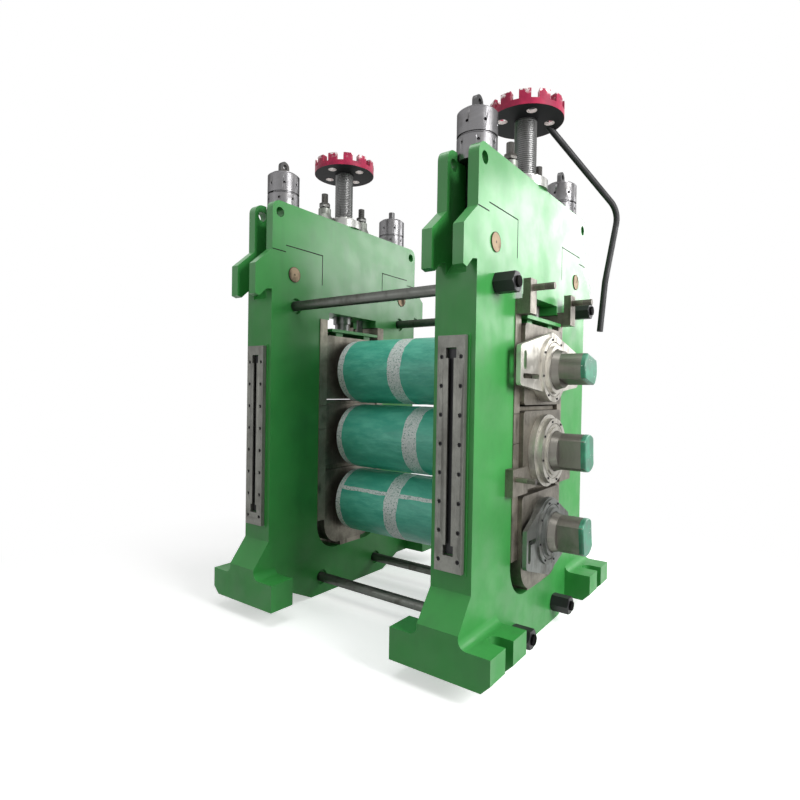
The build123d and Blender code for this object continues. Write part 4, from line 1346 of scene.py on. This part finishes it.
@dataclass
class PaintShop:
    """The finishes of the CAD nodes that show as they are."""

    sizes: StandSizes
    green: Colour = (0.046, 0.315, 0.064)
    green_patch: Colour = (0.038, 0.265, 0.053)
    stud_steel: Colour = (0.17, 0.155, 0.13)
    # Lit and shaded copies of one cover steel, top roll to bottom: painted light on the top and middle
    # covers, painted shade on the bottom covers.
    cover_steels: Tuple[Colour, ...] = ((0.62, 0.6, 0.55), (0.54, 0.525, 0.48), (0.24, 0.25, 0.24))
    bare_metal: float = 0.92
    pin_axis: Tuple[float, float] = (0.583, 2.149)
    rod_black_beyond: float = 0.86
    keeper_face: float = 0.975
    strap_face: float = 0.94
    rod_thread_bottom: float = 2.72
    rim_width: float = 0.044
    teeth_height: float = 0.051

    def paint(self, finish: Finish, *nodes: str) -> Material:
        """Makes a finish and puts it on CAD nodes.

        Args:
            finish: The finish.
            nodes: The nodes' names, with * for both sides.

        Returns:
            Its material.
        """
        material = finish.build()
        for node in nodes:
            for name in sorted({node.replace("*", side.word) for side in Side}):
                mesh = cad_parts[name].data
                mesh.materials.clear()
                mesh.materials.append(material)
        return material

    def upright(self, name: str, colour: Colour, roughness: float, stain: float = 0.5) -> TurnedSteel:
        """Describes a steel turned about the upright axis in the middle of each housing.

        Args:
            name: The material's name.
            colour: The steel's colour.
            roughness: Its roughness.
            stain: How much of it is stained.

        Returns:
            The finish.
        """
        return TurnedSteel(name, colour, roughness, self.bare_metal, (self.sizes.housing_x, 0.0), True,
                           stain_amount=stain)

    def rolls_and_covers(self) -> None:
        """Paints each roll with its covers, and the film solids under the wound film."""
        # Each roll's covers get their painted lit or shaded copy of the cover steel.
        for roll, steel in zip(RollName, self.cover_steels):
            centre = (0.0, self.sizes.roll_z[roll])
            self.paint(TurnedSteel(roll.word + "_roll_steel", (0.2, 0.19, 0.17), 0.3, 0.7, centre,
                                   stain_amount=0.15), roll.value)
            self.paint(TurnedSteel(roll.word + "_cover_steel", steel, 0.34, self.bare_metal, centre),
                       f"*_{roll.word}_cover")
        self.paint(Finish("hidden_film", (0.04, 0.3, 0.22)), *(roll.value + "_wrap" for roll in RollName))

    def wheels(self) -> None:
        """Paints both wheels, each as far round as the photograph shows it."""
        for side, turn in ((Side.NEAR, 37.0), (Side.FAR, 4.0)):
            self.paint(WheelPaint(side.word + "_wheel_paint", (0.47, 0.025, 0.08), 0.4,
                                  centre_x=self.sizes.middle_x(side),
                                  rim_inner=self.sizes.wheel_radius - self.rim_width,
                                  rim_outer=self.sizes.wheel_radius,
                                  teeth_bottom=self.sizes.wheel_top - self.teeth_height, turn=turn),
                       side.word + "_wheel")

    def apply(self) -> Dict[str, Material]:
        """Paints every CAD node and makes the shared steels.

        Returns:
            The materials that the added pieces use.
        """
        self.paint(Enamel("stand_green", self.green, 0.42, patch=self.green_patch),
                   "*_housing", "*_cap", "*_balance_beam")
        self.rolls_and_covers()
        self.wheels()
        self.paint(PlateSteel("chock_steel", (0.15, 0.137, 0.114), 0.36, 0.85),
                   *(f"*_{roll.word}_chock" for roll in RollName))
        self.paint(StudSteel("keeper_steel", self.stud_steel, 0.4, 0.8, start=self.keeper_face),
                   "keeper_plates")
        self.paint(StudSteel("strap_steel", self.stud_steel, 0.4, 0.8, start=self.strap_face), "cover_straps")
        self.paint(StudSteel("balance_rod_steel", (0.14, 0.14, 0.135), 0.42, 0.8,
                             start=self.rod_thread_bottom, upright=True), "balance_rods")
        self.paint(self.upright("spring_cup_steel", (0.2, 0.21, 0.19), 0.4), "spring_cups")
        self.paint(self.upright("screw_nut_steel", (0.34, 0.34, 0.325), 0.32), "*_screw_nut")
        self.paint(self.upright("swing_bolt_steel", (0.1, 0.1, 0.1), 0.34), "swing_bolts")
        self.paint(PinMetal("hinge_pin_bronze", (0.3, 0.225, 0.15), 0.45, 0.6, self.pin_axis,
                            stain_amount=0.8), "hinge_pins")
        self.paint(TurnedSteel("tie_rod_steel", (0.12, 0.125, 0.115), 0.36, self.bare_metal,
                               black_beyond=self.rod_black_beyond), "upper_tie_rods", "lower_tie_rods")
        self.paint(PlateSteel("bar_steel", (0.007, 0.007, 0.008), 0.46, 0.2, (0.01, 0.01, 0.009)),
                   "turning_bar")
        return {
            "liner": self.paint(PlateSteel("liner_steel", (0.22, 0.2, 0.165), 0.42, 0.75, stain_amount=0.7,
                                           shine=1.35), "*_window_liners"),
            "rail": self.paint(PlateSteel("rail_steel", (0.165, 0.167, 0.15), 0.4, 0.7, stain_amount=0.3,
                                          shine=1.3), "*_rest_rails"),
            "black": self.paint(PlateSteel("blackened_nut_steel", (0.012, 0.012, 0.014), 0.42, 0.3,
                                           (0.012, 0.012, 0.012)), "tie_nuts"),
            "screw": self.paint(self.upright("screw_steel", (0.23, 0.23, 0.228), 0.32, 0.3), "*_screw"),
            "nut": self.paint(self.upright("clamp_nut_steel", (0.19, 0.187, 0.192), 0.26, 0.3), "clamp_nuts"),
            "bolt": self.paint(PlateSteel("bolt_steel", (0.2, 0.2, 0.19), 0.36, 0.85)),
        }


@dataclass(frozen=True)
class Lamp:
    """A soft square lamp that hangs in one place and points at another."""

    name: str
    place: Point
    target: Point
    size: float
    watts: float

    def hang(self) -> None:
        """Puts the lamp in the scene."""
        data = bpy.data.lights.new(self.name, "AREA")
        data.size = self.size
        data.energy = self.watts
        lamp = set_out(self.name, data)
        lamp.location = self.place
        lamp.rotation_euler = (Vector(self.target) - Vector(self.place)).to_track_quat("-Z", "Y").to_euler()


@dataclass
class Studio:
    """Camera, floor, background and lamps."""

    location: Point = (2.0505, -3.0117, 1.4155)
    yaw: float = 0.6349
    pitch: float = -0.0145
    roll: float = 0.0166
    lens: float = 24.566
    shift: float = -0.002
    ambient: float = 0.22
    floor_size: float = 60.0
    floor_glow: float = 0.5
    fade_start: float = 1.7
    fade_end: float = 3.4
    lamps: Tuple[Lamp, ...] = (
        Lamp("key_lamp", (6.2, -0.6, 3.6), (0.2, 0.0, 1.4), 3.0, 390.0),
        Lamp("top_lamp", (0.5, -0.9, 6.5), (0.0, 0.0, 1.5), 4.0, 120.0),
        Lamp("fill_lamp", (-2.2, -5.2, 2.4), (0.0, 0.0, 1.2), 2.6, 34.0),
        Lamp("glare_lamp", (2.75, 4.2, 3.2), (0.0, 0.0, 2.1), 2.2, 85.0),
    )

    def camera(self) -> None:
        """Sets the camera where the photograph was taken from."""
        ahead = Vector((-math.sin(self.yaw) * math.cos(self.pitch), math.cos(self.yaw) * math.cos(self.pitch),
                        math.sin(self.pitch)))
        right = ahead.cross(Vector(UP)).normalized()
        up = right.cross(ahead)
        cosine, sine = math.cos(self.roll), math.sin(self.roll)
        turned = Matrix((cosine * right + sine * up, cosine * up - sine * right, -ahead))
        place = turned.transposed().to_4x4()
        place.translation = Vector(self.location)
        camera = set_out("photo_camera", bpy.data.cameras.new("photo_camera"))
        camera.data.sensor_width = 36.0
        camera.data.lens = self.lens
        camera.data.shift_y = self.shift
        camera.data.clip_end = 200.0
        camera.matrix_world = place
        bpy.context.scene.camera = camera

    def floor_material(self) -> Material:
        """Makes a pale floor that turns white where it runs away from the stand.

        Returns:
            The material.
        """
        material = bpy.data.materials.new("pale_floor")
        material.use_nodes = True
        sketch = NodeSketch(material.node_tree)
        white = (1.0, 1.0, 1.0)
        paint = sketch.add("ShaderNodeBsdfDiffuse", Color=(0.93, 0.93, 0.93))
        glow = sketch.add("ShaderNodeEmission", Color=white, Strength=self.floor_glow)
        near = sketch.add("ShaderNodeAddShader", i0=paint.outputs[0], i1=glow.outputs[0])
        beyond = sketch.add("ShaderNodeEmission", Color=white, Strength=1.0)
        place = sketch.add("ShaderNodeTexCoord").outputs["Object"]
        distance = sketch.add("ShaderNodeVectorMath", {"operation": "LENGTH"}, Vector=place).outputs["Value"]
        faded = sketch.span(distance, self.fade_start, self.fade_end)
        shown = sketch.add("ShaderNodeMixShader", i0=faded, i1=near.outputs[0], i2=beyond.outputs[0])
        dull = sketch.add("ShaderNodeBsdfDiffuse", Color=(0.15, 0.15, 0.15))
        seen = self.seen(sketch)
        mixed = sketch.add("ShaderNodeMixShader", i0=seen, i1=dull.outputs[0], i2=shown.outputs[0])
        sketch.add("ShaderNodeOutputMaterial", Surface=mixed.outputs[0])
        return material

    def seen(self, sketch: NodeSketch) -> Socket:
        """Tells camera, glossy and transmission rays from the rest.

        Args:
            sketch: The nodes of the floor or the world.

        Returns:
            One for those rays, zero for others.
        """
        path = sketch.add("ShaderNodeLightPath").outputs
        mirrored = sketch.either(path["Is Glossy Ray"], path["Is Transmission Ray"])
        return sketch.either(path["Is Camera Ray"], mirrored)

    def floor(self) -> None:
        """Lays a pale floor that keeps the stand's shadow."""
        bm = bmesh.new()
        bmesh.ops.create_grid(bm, x_segments=1, y_segments=1, size=self.floor_size)
        mesh = set_down(bm, "floor")
        mesh.materials.append(self.floor_material())
        set_out("floor", mesh)

    def world(self) -> None:
        """Shows white to the camera and in reflections, and lights the rest softly."""
        world = bpy.data.worlds.new("studio")
        bpy.context.scene.world = world
        world.use_nodes = True
        sketch = NodeSketch(world.node_tree)
        strength = sketch.span(self.seen(sketch), 0.0, 1.0, self.ambient, 1.0)
        background = sketch.add("ShaderNodeBackground", Color=(1.0, 1.0, 1.0), Strength=strength)
        sketch.add("ShaderNodeOutputWorld", Surface=background.outputs[0])

    def build(self) -> None:
        """Sets up the whole studio."""
        self.camera()
        self.floor()
        self.world()
        for lamp in self.lamps:
            lamp.hang()


@dataclass
class MillStand:
    """The whole stand: its finishes and the pieces that the solids leave to the scene."""

    sizes: StandSizes

    def build(self) -> List[Piece]:
        """Dresses the stand.

        Returns:
            The added pieces.
        """
        steels = PaintShop(self.sizes).apply()
        pieces = [piece for filmed in self.rolls() for piece in filmed.build()]
        pieces += [AdjustingScrew(side, self.sizes).build(steels["screw"]) for side in Side]
        pieces += ClampGear(self.sizes).build(steels["nut"], steels["rail"], steels["black"])
        pieces += CoverBolts(self.sizes).build(steels["black"], steels["bolt"])
        pieces += ChockPackers(self.sizes).build(steels["liner"])
        return pieces

    def rolls(self) -> List[FilmedRoll]:
        """Lists the rolls with their tape, as the photograph shows it.

        Returns:
            The three filmed rolls.
        """
        z = self.sizes.roll_z
        return [
            FilmedRoll(RollName.TOP, z[RollName.TOP], (TapeBand(-0.118, -0.014), TapeBand(-1.0, -0.5)),
                       78.0, (-92.0,)),
            FilmedRoll(RollName.MIDDLE, z[RollName.MIDDLE], (TapeBand(0.008, 0.12), TapeBand(-1.0, -0.505)),
                       5.0, (88.0, -99.0)),
            FilmedRoll(RollName.BOTTOM, z[RollName.BOTTOM], (TapeBand(-0.13, -0.024), TapeBand(-1.0, -0.51)),
                       10.0, (81.0,), TapeBand(-0.52, 0.5)),
        ]


def main() -> None:
    logging.basicConfig(level=logging.INFO, format="%(name)s: %(message)s")
    bpy.context.scene.view_settings.view_transform = "Standard"
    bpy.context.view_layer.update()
    pieces = MillStand(StandSizes.read()).build()
    Studio().build()
    log.info("added %d pieces", len(pieces))


if __name__ == "__main__":
    main()
